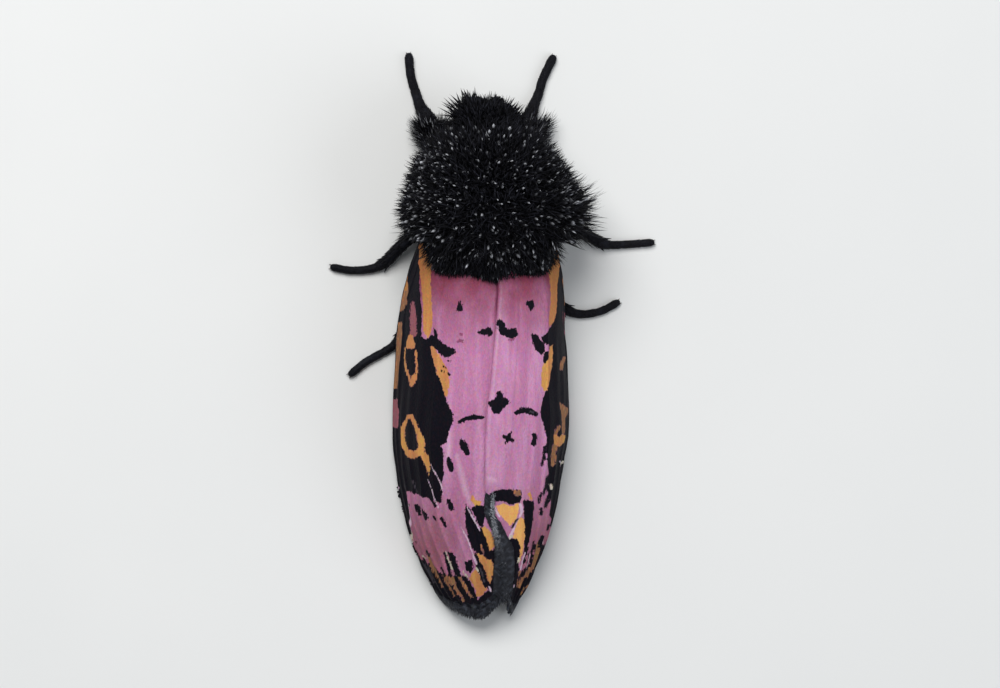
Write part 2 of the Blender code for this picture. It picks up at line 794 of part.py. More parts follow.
def add_locks(group, middle, radii, count, size, crown, allowed, groomed):
    """Roots locks all over an ellipsoid. groomed gives each one's stretch and the heading of its tip."""
    for i, (root, normal) in enumerate(spiral_roots(middle, radii, count)):
        spread = COAT.uniform(-LOCK_SPREAD, LOCK_SPREAD)
        stretch = COAT.uniform(0.86, 1.1)
        if not allowed(root):
            continue
        lie = tangent_away(root, normal, crown)
        lie = (lie + normal.cross(lie) * spread).normalized()
        longer, rise_end = groomed(root)
        length, width, thickness = size
        lock(f"lock_{i}", root, normal, lie, (length * stretch * longer, width, thickness), rise_end, group)


def groomed_thorax(root):
    rear = smoothstep(REAR_START_Y, REAR_FULL_Y, root.y)
    brow = smoothstep(-BROW_START_Y, -BROW_FULL_Y, -root.y)
    crest = 1 - smoothstep(*CREST_REACH, (root - THORAX_CROWN).xy.length)
    rise_end = mixed(mixed(RISE_END, REAR_RISE_END, rear), CREST_RISE_END, crest)
    return 1 + REAR_STRETCH * rear + BROW_STRETCH * brow + CREST_STRETCH * crest, rise_end


def groomed_head(root):
    return 1.0, RISE_END


def thorax_root_allowed(root):
    grown = HEAD_ROOM_RADII + Vector((GAP, GAP, GAP))
    return root.z > COAT_FLOOR + 0.4 * MM and not under_wings(root) and not inside(root, HEAD_ROOM_MIDDLE, grown)


def head_root_allowed(root):
    for side in (LEFT, RIGHT):
        socket = Vector((side * EYE_MIDDLE.x, EYE_MIDDLE.y, EYE_MIDDLE.z))
        if (root - socket).length < EYE_RADIUS + LOCK_SUNK:
            return False
    return root.z > FACE_TOP and root.y < NECK_Y


def thorax():
    obj = ellipsoid("thorax", THORAX_MIDDLE, THORAX_RADII, 20, 12)
    flat_cut(obj, (0, NECK_Y + GAP / 2, 0), (0, -1, 0))
    flat_cut(obj, (0, WAIST_Y - GAP / 2, 0), (0, 1, 0))
    add_locks(
        "thorax_locks",
        THORAX_MIDDLE,
        THORAX_RADII,
        THORAX_ROOTS,
        THORAX_LOCK,
        THORAX_CROWN,
        thorax_root_allowed,
        groomed_thorax,
    )
    fuse(obj, collection("thorax_locks"))
    cut_with(obj, wing_room(), "MANIFOLD")
    cut_with(obj, head_room(), "MANIFOLD")
    for side in (LEFT, RIGHT):
        cut_with(obj, antenna_room(side), "MANIFOLD")
    keep_largest(obj)
    obj.data.materials.append(material("coat"))
    return obj


def head():
    obj = ellipsoid("head", HEAD_MIDDLE, HEAD_RADII, 16, 10)
    flat_cut(obj, (0, NECK_Y - GAP / 2, 0), (0, 1, 0))
    add_locks(
        "head_locks",
        HEAD_MIDDLE,
        HEAD_RADII,
        HEAD_ROOTS,
        HEAD_LOCK,
        HEAD_CROWN,
        head_root_allowed,
        groomed_head,
    )
    fuse(obj, collection("head_locks"))
    limit = ellipsoid("head_limit", HEAD_ROOM_MIDDLE, HEAD_ROOM_RADII, 20, 12, "cutters")
    boolean(obj, "INTERSECT", limit, "MANIFOLD")
    bpy.data.objects.remove(limit)
    flat_cut(obj, (0, NECK_Y - GAP / 2, 0), (0, 1, 0))
    for side in (LEFT, RIGHT):
        for room in (eye_room, antenna_room, palp_room):
            cut_with(obj, room(side), "MANIFOLD")
    keep_largest(obj)
    obj.data.materials.append(material("coat"))
    return obj


def centre_footprint(root, nodes):
    """Moves the moth so that the middle of its footprint is the origin."""
    bpy.context.view_layer.update()
    corners = [obj.matrix_world @ v.co for obj in nodes for v in obj.data.vertices]
    for axis in (0, 1):
        values = [corner[axis] for corner in corners]
        root.location[axis] = -(min(values) + max(values)) / 2


def main():
    clear_scene()
    root = add_object("moth", None)
    nodes = [thorax(), head(), abdomen()]
    for side in (LEFT, RIGHT):
        nodes += [eye(side), palp(side), antenna(side), forewing(side), hindwing(side)]
    nodes += [leg(name) for name in LEGS]
    for obj in nodes:
        obj.parent = root
        obj.data.shade_smooth()
        obj.data.set_sharp_from_angle(angle=SHARP_ANGLE)
    centre_footprint(root, nodes)


main()
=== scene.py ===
"""The looks of a Spanish moth at rest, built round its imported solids.

Lengths in this script are millimetres in the body's own frame, with the head to -Y, the moth's left to +X and
the feet on z = 0. placed() moves them into the frame's metres.
"""

import math

import bpy
import numpy as np
from mathutils import Matrix, Vector


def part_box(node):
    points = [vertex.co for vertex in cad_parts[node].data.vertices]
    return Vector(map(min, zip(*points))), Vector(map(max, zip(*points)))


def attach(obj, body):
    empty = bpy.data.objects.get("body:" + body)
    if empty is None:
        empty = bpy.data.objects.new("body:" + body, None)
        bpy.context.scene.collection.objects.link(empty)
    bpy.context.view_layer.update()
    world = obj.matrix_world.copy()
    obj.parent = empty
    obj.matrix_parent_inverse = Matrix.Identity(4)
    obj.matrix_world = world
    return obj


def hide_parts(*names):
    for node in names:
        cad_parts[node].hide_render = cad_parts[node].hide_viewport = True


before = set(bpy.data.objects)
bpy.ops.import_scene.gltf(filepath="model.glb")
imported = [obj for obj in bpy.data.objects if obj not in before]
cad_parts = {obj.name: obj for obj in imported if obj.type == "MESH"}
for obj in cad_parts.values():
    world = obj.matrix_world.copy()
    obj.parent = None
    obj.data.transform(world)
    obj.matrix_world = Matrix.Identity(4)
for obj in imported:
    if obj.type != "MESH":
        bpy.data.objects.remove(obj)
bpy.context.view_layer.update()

MM = 0.001
LEFT, RIGHT = 1, -1
SIDE_NAMES = {LEFT: "left", RIGHT: "right"}
DRAW = np.random.default_rng(11)

# Body, as in the solids
THORAX_MIDDLE, THORAX_RADII = np.array((0, -6.6, 3.9)), np.array((3.3, 3.2, 2.9))
COAT_TOP = 8.8  # no hair of the thorax stands higher
HEAD_MIDDLE, HEAD_RADII = np.array((0, -10.0, 3.1)), np.array((1.6, 1.35, 1.5))
EYE_MIDDLE, EYE_RADIUS = np.array((1.25, -10.25, 2.95)), 0.8
WAIST_Y, ABDOMEN_END_Y = -4.0, 9.6

# The arch that the folded wings follow
ARCH_HALF_WIDTH, ARCH_HEIGHT = 4.43, 6.0
ARCH_WIDEST_Y, ARCH_NOSE_Y = 3.2, 14.6
RIDGE_FALL_Y, RIDGE_END_Y = 1.0, 14.9
ARCH_SQUARENESS = 2.6
FRONT_NARROWING = 0.0111
SOLID_WING, GAP = 0.5, 0.3  # thickness of a solid wing, and the air under it
FOREWING_FRONT_Y, HINDWING_FRONT_Y, HINDWING_END_Y = -5.8, -4.9, 10.9
LEG_ROOM, LEG_ROOM_Y = 1.05, (1.2, 6)  # the gap over the legs, and between which y it ends
SHOULDER_RISE, SHOULDER_Y, SHOULDER_LENGTH = 3.3, -0.5, 5.1  # how the lower edges rise towards the front
SEAM_SHIFT, SEAM_Y = -1.0, (7.8, 12.5)  # how far the seam turns aside, and between which y
# Each forewing's tip: its share across the wing, its y, the notch beside the seam, and the fall to the edge
WING_TIP = {LEFT: (0.33, 14.1, 0.95, 1.2), RIGHT: (0.3, 13.88, 0.95, 0.9)}


def smoothstep(low, high, value):
    t = np.clip((value - low) / (high - low), 0, 1)
    return t * t * (3 - 2 * t)


def between(table, value):
    """Straight-line interpolation in a table of (place, value) pairs."""
    places, values = zip(*table)
    return np.interp(value, places, values)


def unit(vectors):
    return vectors / np.maximum(np.linalg.norm(vectors, axis=-1, keepdims=True), 1e-9)


def body_offset():
    """From body millimetres to the frame's, read off the two eyes."""
    corners = [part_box(f"eye_{name}") for name in SIDE_NAMES.values()]
    middle = sum((np.array(low + high) / 4 for low, high in corners), np.zeros(3)) / MM
    return middle - EYE_MIDDLE * (0, 1, 1)


OFFSET = body_offset()


def placed(points):
    return (np.asarray(points, float) + OFFSET) * MM


# Camera, light and floor

PIXEL = 0.05  # millimetres
IMAGE_SIZE = (1000, 688)
MIDLINE_PIXEL_X, ZERO_PIXEL_Y = 479.0, 336.5  # where the body's x = 0 and y = 0 lie on the floor in the photo
CAMERA_LEAN = math.atan(0.13)  # the camera stands over the moth's left side by this angle
CAMERA_DISTANCE = 1000.0
SENSOR_WIDTH = 36.0
FLOOR_REACH = 0.6
CLIP_NEAR, CLIP_FAR = 0.1, 3.0  # metres
# Lamps, as (name, place, size, power, colour), in metres and watts
LAMPS = (
    ("key", (0.06, -0.12, 0.2), 0.16, 0.55, (1.0, 0.985, 0.96)),
    ("fill", (-0.17, 0.06, 0.16), 0.2, 0.16, (0.93, 0.96, 1.0)),
)
LAMP_TARGET = (0, 0, 0.003)
SKY_COLOUR, SKY_STRENGTH = (0.93, 0.96, 1.0), 0.23


def link(obj):
    bpy.context.scene.collection.objects.link(obj)
    return obj


def aim(obj, place, target, up):
    """Stands a camera or lamp at a place, looking at the target, with its own +Y towards up."""
    back = (place - target).normalized()
    right = up.cross(back).normalized()
    turn = Matrix((right, back.cross(right), back)).transposed().to_4x4()
    obj.matrix_world = Matrix.Translation(place) @ turn


def add_camera():
    data = bpy.data.cameras.new("camera")
    data.sensor_width = SENSOR_WIDTH
    data.lens = CAMERA_DISTANCE * SENSOR_WIDTH / (IMAGE_SIZE[0] * PIXEL)
    data.clip_start, data.clip_end = CLIP_NEAR, CLIP_FAR
    camera = link(bpy.data.objects.new("camera", data))
    x = (MIDLINE_PIXEL_X - IMAGE_SIZE[0] / 2) * PIXEL
    y = (IMAGE_SIZE[1] / 2 - ZERO_PIXEL_Y) * PIXEL
    target = Vector(placed((x, y, 0)))
    back = Vector((math.sin(CAMERA_LEAN), 0, math.cos(CAMERA_LEAN)))
    aim(camera, target + back * CAMERA_DISTANCE * MM, target, Vector((0, -1, 0)))
    bpy.context.scene.camera = camera


def add_lamp(name, place, size, power, colour):
    data = bpy.data.lights.new(name, "AREA")
    data.shape = "DISK"
    data.size = size
    data.energy = power
    data.color = colour
    aim(link(bpy.data.objects.new(name, data)), Vector(place), Vector(LAMP_TARGET), Vector((0, 1, 0.01)))


def add_stage():
    """A plain pale floor, a large soft key light from ahead of the head, and a weaker fill."""
    mesh = bpy.data.meshes.new("floor")
    r = FLOOR_REACH
    mesh.from_pydata([(-r, -r, 0), (r, -r, 0), (r, r, 0), (-r, r, 0)], [], [(0, 1, 2, 3)])
    mesh.materials.append(floor_material())
    link(bpy.data.objects.new("floor", mesh))
    for lamp in LAMPS:
        add_lamp(*lamp)
    world = bpy.data.worlds.new("studio")
    world.use_nodes = True
    sky = world.node_tree.nodes["Background"]
    sky.inputs["Color"].default_value = (*SKY_COLOUR, 1)
    sky.inputs["Strength"].default_value = SKY_STRENGTH
    bpy.context.scene.world = world
    bpy.context.scene.view_settings.view_transform = "Standard"


# Materials


class Shader:
    """A material with one Principled node, and short ways to feed it."""

    def __init__(self, name, roughness, specular=0.5):
        self.material = bpy.data.materials.new(name)
        self.material.use_nodes = True
        tree = self.material.node_tree
        self.nodes, self.links = tree.nodes, tree.links
        self.principled = self.nodes["Principled BSDF"]
        self.principled.inputs["Roughness"].default_value = roughness
        self.principled.inputs["Specular IOR Level"].default_value = specular

    def put(self, value, socket):
        if isinstance(value, bpy.types.NodeSocket):
            self.links.new(value, socket)
        elif isinstance(value, tuple) and socket.type == "RGBA":
            socket.default_value = (*value, 1)
        else:
            socket.default_value = value

    def made(self, kind, **settings):
        node = self.nodes.new("ShaderNode" + kind)
        for key, value in settings.items():
            setattr(node, key, value)
        return node

    def math(self, operation, *values):
        node = self.made("Math", operation=operation)
        for socket, value in zip(node.inputs, values):
            self.put(value, socket)
        return node.outputs[0]

    def times(self, first, second):
        return self.math("MULTIPLY", first, second)

    def plus(self, first, second):
        return self.math("ADD", first, second)

    def field(self, name):
        return self.made("Attribute", attribute_name=name).outputs["Fac"]

    def vector(self, name):
        return self.made("Attribute", attribute_name=name).outputs["Vector"]

    def place(self):
        """The place on the object, in metres."""
        return self.made("TexCoord").outputs["Object"]

    def squashed(self, share):
        """The unrolled place on a wing, with only this share of its length."""
        node = self.made("VectorMath", operation="MULTIPLY")
        self.put(self.vector("unrolled"), node.inputs[0])
        node.inputs[1].default_value = (1, share, 1)
        return node.outputs[0]

    def streaks(self, share, scale, detail):
        return self.noise(self.squashed(share), scale, detail)

    def scale_rows(self, output):
        return self.cells(self.squashed(SCALE_SQUASH), 15, output)

    def noise(self, vector, scale, detail=2.0):
        node = self.made("TexNoise")
        self.put(vector, node.inputs["Vector"])
        node.inputs["Scale"].default_value = scale
        node.inputs["Detail"].default_value = detail
        return node.outputs["Fac"]

    def cells(self, vector, scale, output="Distance"):
        node = self.made("TexVoronoi")
        self.put(vector, node.inputs["Vector"])
        node.inputs["Scale"].default_value = scale
        return node.outputs[output]

    def step(self, value, low, high):
        """0 below low and 1 above high, smooth between."""
        node = self.made("MapRange", interpolation_type="SMOOTHSTEP")
        self.put(value, node.inputs["Value"])
        node.inputs["From Min"].default_value = low
        node.inputs["From Max"].default_value = high
        return node.outputs["Result"]

    def mix(self, share, first, second, blend="MIX"):
        node = self.made("Mix", data_type="RGBA", blend_type=blend)
        self.put(share, node.inputs[0])
        self.put(first, node.inputs[6])
        self.put(second, node.inputs[7])
        return node.outputs[2]

    def grained(self, colour, grain, low, high):
        """The colour made darker and lighter by a grain."""
        return self.mix(1.0, colour, self.mix(grain, (low,) * 3, (high,) * 3), "MULTIPLY")

    def colour(self, value):
        self.put(value, self.principled.inputs["Base Color"])

    def bump(self, height, depth, under=None):
        """Bump of this depth in millimetres, over another bump if one is given."""
        node = self.made("Bump")
        node.inputs["Strength"].default_value = 1.0
        node.inputs["Distance"].default_value = depth * MM
        self.put(height, node.inputs["Height"])
        if under is not None:
            self.put(under, node.inputs["Normal"])
        self.put(node.outputs[0], self.principled.inputs["Normal"])
        return node.outputs[0]


PINK_LIGHT, PINK, PINK_DEEP = (0.59, 0.28, 0.475), (0.49, 0.195, 0.365), (0.215, 0.04, 0.072)
MAUVE = (0.3, 0.1, 0.125)
ORANGE, GOLD, RUST = (0.56, 0.235, 0.09), (0.65, 0.33, 0.095), (0.32, 0.105, 0.035)
# The second colour here is orange as if more strongly lit, for painted light on the right wing's bright
# patches
TAN, LIT_ORANGE = (0.27, 0.13, 0.068), (0.95, 0.5, 0.16)
SOOT, WARM_SOOT = (0.0035, 0.0038, 0.008), (0.008, 0.004, 0.0085)
ASH, SLATE, SLATE_LIGHT = (0.05, 0.042, 0.056), (0.021, 0.022, 0.028), (0.085, 0.095, 0.12)
LILAC, CREAM = (0.78, 0.58, 0.72), (0.62, 0.55, 0.46)
FAINT = (0.16, 0.03, 0.075)
SCALE_SQUASH = 0.5  # how much longer than wide a wing scale's cell is, as a share
MARK_SOFTNESS = 0.016  # of the markings' edges, in millimetres


def floor_material():
    made = Shader("pale_floor", 0.85, 0.2)
    patches = made.noise(made.place(), 60, 4)
    made.colour(made.mix(patches, (0.74, 0.755, 0.76), (0.79, 0.80, 0.80)))
    return made.material


def forewing_material():
    """Scaled membrane. Each marking has a field that holds the distance inside its edge in millimetres."""
    made = Shader("forewing_scales", 0.68, 0.09)
    place = made.vector("unrolled")
    ragged, fine = made.streaks(0.45, 9, 2), made.streaks(0.4, 26, 1)
    bands, grain = made.streaks(0.12, 1.5, 3), made.streaks(SCALE_SQUASH, 34, 2)
    shift = made.times(made.math("SUBTRACT", ragged, 0.5), 0.22)
    shift = made.plus(shift, made.times(made.math("SUBTRACT", fine, 0.5), 0.13))

    def inside(name, sign=1, strength=1.0):
        moved = made.plus(made.field(name), made.times(shift, sign * strength))
        return made.step(moved, -MARK_SOFTNESS, MARK_SOFTNESS)

    # Clouds in the deeper pink towards the fur
    veil = made.plus(0.72, made.times(made.step(made.noise(place, 0.9, 3), 0.3, 0.6), 0.28))
    # Painted highlights: soft lilac light over the pink
    bloom = made.times(made.step(made.field("bloom"), -0.14, 0.14), 0.38)
    orange = made.mix(made.step(bands, 0.4, 0.62), ORANGE, GOLD)
    # Painted light: the orange of the right wing's bright patches lifted towards a brighter gold
    orange = made.mix(made.times(made.field("painted_light_patch"), 0.7), orange, LIT_ORANGE)
    # Orange browner towards the fur: partly its own colour, partly painted shade under the fur's edge
    orange = made.mix(made.times(made.math("POWER", made.field("shade"), 2.0), 0.6), orange, RUST)
    mottle = made.step(made.noise(place, 4.5, 4), 0.42, 0.72)
    colour = made.mix(made.step(bands, 0.38, 0.66), PINK, PINK_LIGHT)
    for share, over in (
        # Painted shade: mauve where the wing slopes away from the light, towards the rear and down the flanks
        (made.field("slope_shade"), MAUVE),
        # Deeper pink towards the fur: partly the wing's own colour near its base, partly painted shade under
        # the fur's edge
        (made.times(made.field("shade"), veil), PINK_DEEP),
        (bloom, LILAC),
        # Painted highlight along the right wing's raised edge beside the seam
        (made.field("ridge"), LILAC),
        # Painted shade in the seam
        (made.field("painted_seam_shade"), FAINT),
        (inside("mauve"), MAUVE),
        (made.times(inside("faint"), 0.75), FAINT),
        (inside("orange"), orange),
        (inside("tan"), made.mix(made.step(ragged, 0.45, 0.85), TAN, ORANGE)),
        (inside("black", -1), made.mix(made.step(ragged, 0.4, 0.7), SOOT, WARM_SOOT)),
        (inside("ash"), ASH),
        (inside("cream"), CREAM),
        (made.times(inside("light", 1, 0.35), 0.8), LILAC),
        (inside("fringe"), made.mix(made.plus(mottle, made.field("sheen")), SLATE, SLATE_LIGHT)),
    ):
        colour = made.mix(share, colour, over)
    made.colour(made.mix(0.12, made.grained(colour, grain, 0.78, 1.2), made.scale_rows("Color"), "OVERLAY"))
    made.bump(grain, 0.012, made.bump(made.scale_rows("Distance"), 0.02))
    return made.material


def hindwing_material():
    made = Shader("hindwing_scales", 0.65, 0.3)
    bands, grain = made.streaks(0.15, 1.4, 3), made.streaks(SCALE_SQUASH, 30, 2)
    colour = made.mix(made.step(bands, 0.3, 0.7), (0.045, 0.04, 0.05), (0.085, 0.075, 0.085))
    made.colour(made.grained(colour, grain, 0.7, 1.3))
    made.bump(made.scale_rows("Distance"), 0.02)
    return made.material


def coat_material(
    name="coat_hair", dark=(0.001, 0.001, 0.002), tip=(0.035, 0.037, 0.052), roughness=0.6, patch=None
):
    """Hair scales: dark shafts with paler ends, a few pale blades that are partly pale tips and partly
    painted glints, and maybe patches of another tone.
    """
    made = Shader(name, roughness, 0.12)
    along, tone, pale = made.field("along"), made.field("tone"), made.field("pale")
    end = made.times(made.step(along, 0.55, 1.0), made.math("POWER", tone, 3.0))
    if patch:
        dark = made.mix(made.step(made.noise(made.place(), 4200, 3), 0.45, 0.65), dark, patch)
    # Pale blade ends: partly pale scale tips, partly painted glints
    blade = made.times(made.step(along, 0.66, 0.74), pale)
    made.colour(made.mix(blade, made.mix(end, dark, tip), (0.6, 0.62, 0.68)))
    made.bump(made.noise(made.place(), 9000, 1), 0.004)
    return made.material


def skin_material():
    made = Shader("body_skin", 0.5, 0.4)
    patches = made.noise(made.place(), 900, 3)
    made.colour(made.mix(patches, (0.008, 0.007, 0.009), (0.022, 0.018, 0.02)))
    made.bump(made.cells(made.place(), 9000), 0.02)
    return made.material


def leg_material():
    """Black scaled skin, bluish in patches, with painted highlights on single scales."""
    made = Shader("leg_scales", 0.6, 0.12)
    patches = made.noise(made.place(), 1500, 3)
    scales = made.noise(made.place(), 14000, 2)
    colour = made.mix(made.step(patches, 0.45, 0.7), (0.003, 0.003, 0.0055), (0.009, 0.01, 0.016))
    # Painted highlights on single scales
    colour = made.mix(made.step(scales, 0.6, 0.8), colour, (0.024, 0.026, 0.036))
    made.colour(colour)
    rough = made.bump(scales, 0.03)
    made.bump(made.cells(made.place(), 11000), 0.02, rough)
    return made.material


def horn_material():
    made = Shader("horn", 0.25, 0.6)
    made.colour(made.mix(made.noise(made.place(), 3000, 2), (0.02, 0.012, 0.009), (0.05, 0.03, 0.02)))
    made.bump(made.noise(made.place(), 9000, 1), 0.005)
    return made.material


def eye_material():
    """Smooth facets over a dark brown ground with paler spots."""
    made = Shader("eye_facets", 0.16, 0.2)
    facet = made.cells(made.place(), 12500)
    spots = made.noise(made.place(), 1800, 2)
    colour = made.mix(made.step(spots, 0.45, 0.7), (0.008, 0.005, 0.005), (0.035, 0.02, 0.014))
    made.colour(made.mix(made.step(facet, 0.25, 0.6), colour, (0.004, 0.003, 0.003)))
    made.bump(made.math("SUBTRACT", 1.0, facet), 0.012)
    return made.material


# Meshes


def mesh_object(name, points, faces, material, smooth=True, **fields):
    """A mesh from arrays of body millimetres and of faces with equally many corners."""
    points, faces = np.asarray(points, float), np.asarray(faces, np.int32)
    count, corners = faces.shape
    mesh = bpy.data.meshes.new(name)
    mesh.vertices.add(len(points))
    mesh.vertices.foreach_set("co", placed(points).astype(np.float32).ravel())
    mesh.loops.add(count * corners)
    mesh.loops.foreach_set("vertex_index", faces.ravel())
    mesh.polygons.add(count)
    mesh.polygons.foreach_set("loop_start", np.arange(0, count * corners, corners, dtype=np.int32))
    mesh.update(calc_edges=True)
    if smooth:
        mesh.shade_smooth()
    for key, values in fields.items():
        values = np.asarray(values, np.float32)
        kind = "FLOAT_VECTOR" if values.ndim == 2 else "FLOAT"
        layer = mesh.attributes.new(key, kind, "POINT")
        layer.data.foreach_set("vector" if values.ndim == 2 else "value", values.ravel())
    mesh.materials.append(material)
    return link(bpy.data.objects.new(name, mesh))


def kept(obj, slot, *nodes):
    """Hangs the piece on the root body and hides the solids that it stands for. The slot is not used."""
    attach(obj, "root")
    if nodes:
        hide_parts(*nodes)
    return obj


def grid_faces(rows, columns, wrap=False, flip=False):
    i, j = np.meshgrid(np.arange(rows - 1), np.arange(columns if wrap else columns - 1), indexing="ij")
    a = i * columns + j
    b = i * columns + (j + 1) % columns
    faces = np.stack([a, b, b + columns, a + columns], -1).reshape(-1, 4)
    return faces[:, ::-1] if flip else faces


def closed_faces(rows, sides, flip=False):
    """Triangles of a closed skin: rings of points, then a point for its near and one for its far end."""
    quads = grid_faces(rows, sides, wrap=True, flip=flip)
    k, last = np.arange(sides), (rows - 1) * sides
    first, second = (k, (k + 1) % sides) if flip else ((k + 1) % sides, k)
    near = np.stack([first, second, 0 * k + rows * sides], -1)
    far = np.stack([last + second, last + first, 0 * k + rows * sides + 1], -1)
    return np.vstack([quads[:, (0, 1, 2)], quads[:, (0, 2, 3)], near, far])


def ring_angles(sides):
    return np.arange(sides) * 2 * math.pi / sides


# The arch


def arch_half_width(y):
    share = np.clip((y - ARCH_WIDEST_Y) / (ARCH_NOSE_Y - ARCH_WIDEST_Y), 0, 0.999)
    front = ARCH_HALF_WIDTH - FRONT_NARROWING * (y - ARCH_WIDEST_Y) ** 2
    return np.where(y < ARCH_WIDEST_Y, front, ARCH_HALF_WIDTH * (1 - share**2.1) ** 0.62)


def arch_height(y):
    share = np.clip((y - RIDGE_FALL_Y) / (RIDGE_END_Y - RIDGE_FALL_Y), 0, 0.999)
    return ARCH_HEIGHT * (1 - share**2) ** 0.75


def section(y, angle, inset=0.0):
    """x and z of the arch at this angle, from 0 at a wing's foot through pi/2 at the ridge."""
    n = ARCH_SQUARENESS
    reach = (np.abs(np.cos(angle)) ** n + np.abs(np.sin(angle)) ** n) ** (-1 / n)
    x = (arch_half_width(y) - inset) * reach * np.cos(angle)
    z = (arch_height(y) - inset) * reach * np.sin(angle)
    return x, z


ARC_ROWS = np.linspace(-7.5, 14.58, 260)
ARC_ANGLES = np.linspace(0, math.pi, 721)
ARC_DOWN = np.linspace(-8.7, 8.7, 697)


def arc_tables():
    """Distance down from the ridge for each angle, and the angle for each distance, one row for each y."""
    x, z = section(ARC_ROWS[:, None], ARC_ANGLES[None, :])
    steps = np.hypot(np.diff(x, axis=1), np.diff(z, axis=1))
    run = np.concatenate([np.zeros((len(ARC_ROWS), 1)), np.cumsum(steps, axis=1)], axis=1)
    ridge = run[:, len(ARC_ANGLES) // 2]
    down = ridge[:, None] - run
    angles = np.array([np.interp(ARC_DOWN, row[::-1], ARC_ANGLES[::-1]) for row in down])
    return down, angles


DOWN_TABLE, ANGLE_TABLE = arc_tables()


def looked_up(table, rows, columns, row, column):
    """Bilinear values of a table with evenly spaced rows and columns."""
    r = np.clip((row - rows[0]) / (rows[1] - rows[0]), 0, len(rows) - 1.001)
    c = np.clip((column - columns[0]) / (columns[1] - columns[0]), 0, len(columns) - 1.001)
    i, j = r.astype(int), c.astype(int)
    s, t = r - i, c - j
    top = table[i, j] * (1 - t) + table[i, j + 1] * t
    return top * (1 - s) + (table[i + 1, j] * (1 - t) + table[i + 1, j + 1] * t) * s


def down_at(y, angle):
    return looked_up(DOWN_TABLE, ARC_ROWS, ARC_ANGLES, y, angle)


def angle_at(y, down):
    return looked_up(ANGLE_TABLE, ARC_ROWS, ARC_DOWN, y, down)


# How far the right wing's flank is tucked in, and how far its tip stands out, at each y
RIGHT_TUCK = (
    (-3.5, 0), (-2, 0.08), (0, 0.22), (3, 0.16), (5, 0.1), (6, 0.24), (8, 0.26), (9.2, 0.22), (10.2, 0.27),
    (11.4, 0.3), (12.2, 0.2), (13, 0),
)
TIP_SPLAY = ((12.5, 0), (13.0, 0), (13.5, 0.12), (14.0, 0.32))


def right_shift(x, y):
    """How far a point of the right wing lies inside the even arch."""
    flank = np.clip(x / ARCH_HALF_WIDTH, 0, 1) ** 2
    return between(RIGHT_TUCK, y) * flank - between(TIP_SPLAY, y)


def arch_place(side, y, down, inset=0.0):
    """The point of the arch at y and at this distance down from the ridge, on one side."""
    x, z = section(y, angle_at(y, down), inset)
    x = x - np.where(np.asarray(side) == RIGHT, right_shift(x, y), 0)
    return np.stack([side * x, y + 0 * x, z], -1)


def arch_normal(side, y, down):
    step = 0.05
    along = arch_place(side, y + step, down) - arch_place(side, y - step, down)
    across = arch_place(side, y, down + step) - arch_place(side, y, down - step)
    return unit(np.cross(along, across) * -np.asarray(side)[..., None])


def seam_x(y):
    return SEAM_SHIFT * smoothstep(*SEAM_Y, y)


def lower_edge_z(y):
    ahead = np.maximum(0, (SHOULDER_Y - y) / SHOULDER_LENGTH)
    return LEG_ROOM * (1 - smoothstep(*LEG_ROOM_Y, y)) + SHOULDER_RISE * ahead**1.6


def lower_edge_down(y):
    return down_at(y, np.arctan2(lower_edge_z(y) / arch_height(y), 1))


def forewing_end_y(side, across):
    tip, tip_y, notch, fall = WING_TIP[side]
    inner = tip_y - notch * np.maximum(1 - across / tip, 0) ** 1.6
    return np.where(across < tip, inner, tip_y - fall * np.maximum((across - tip) / (1 - tip), 0) ** 1.4)
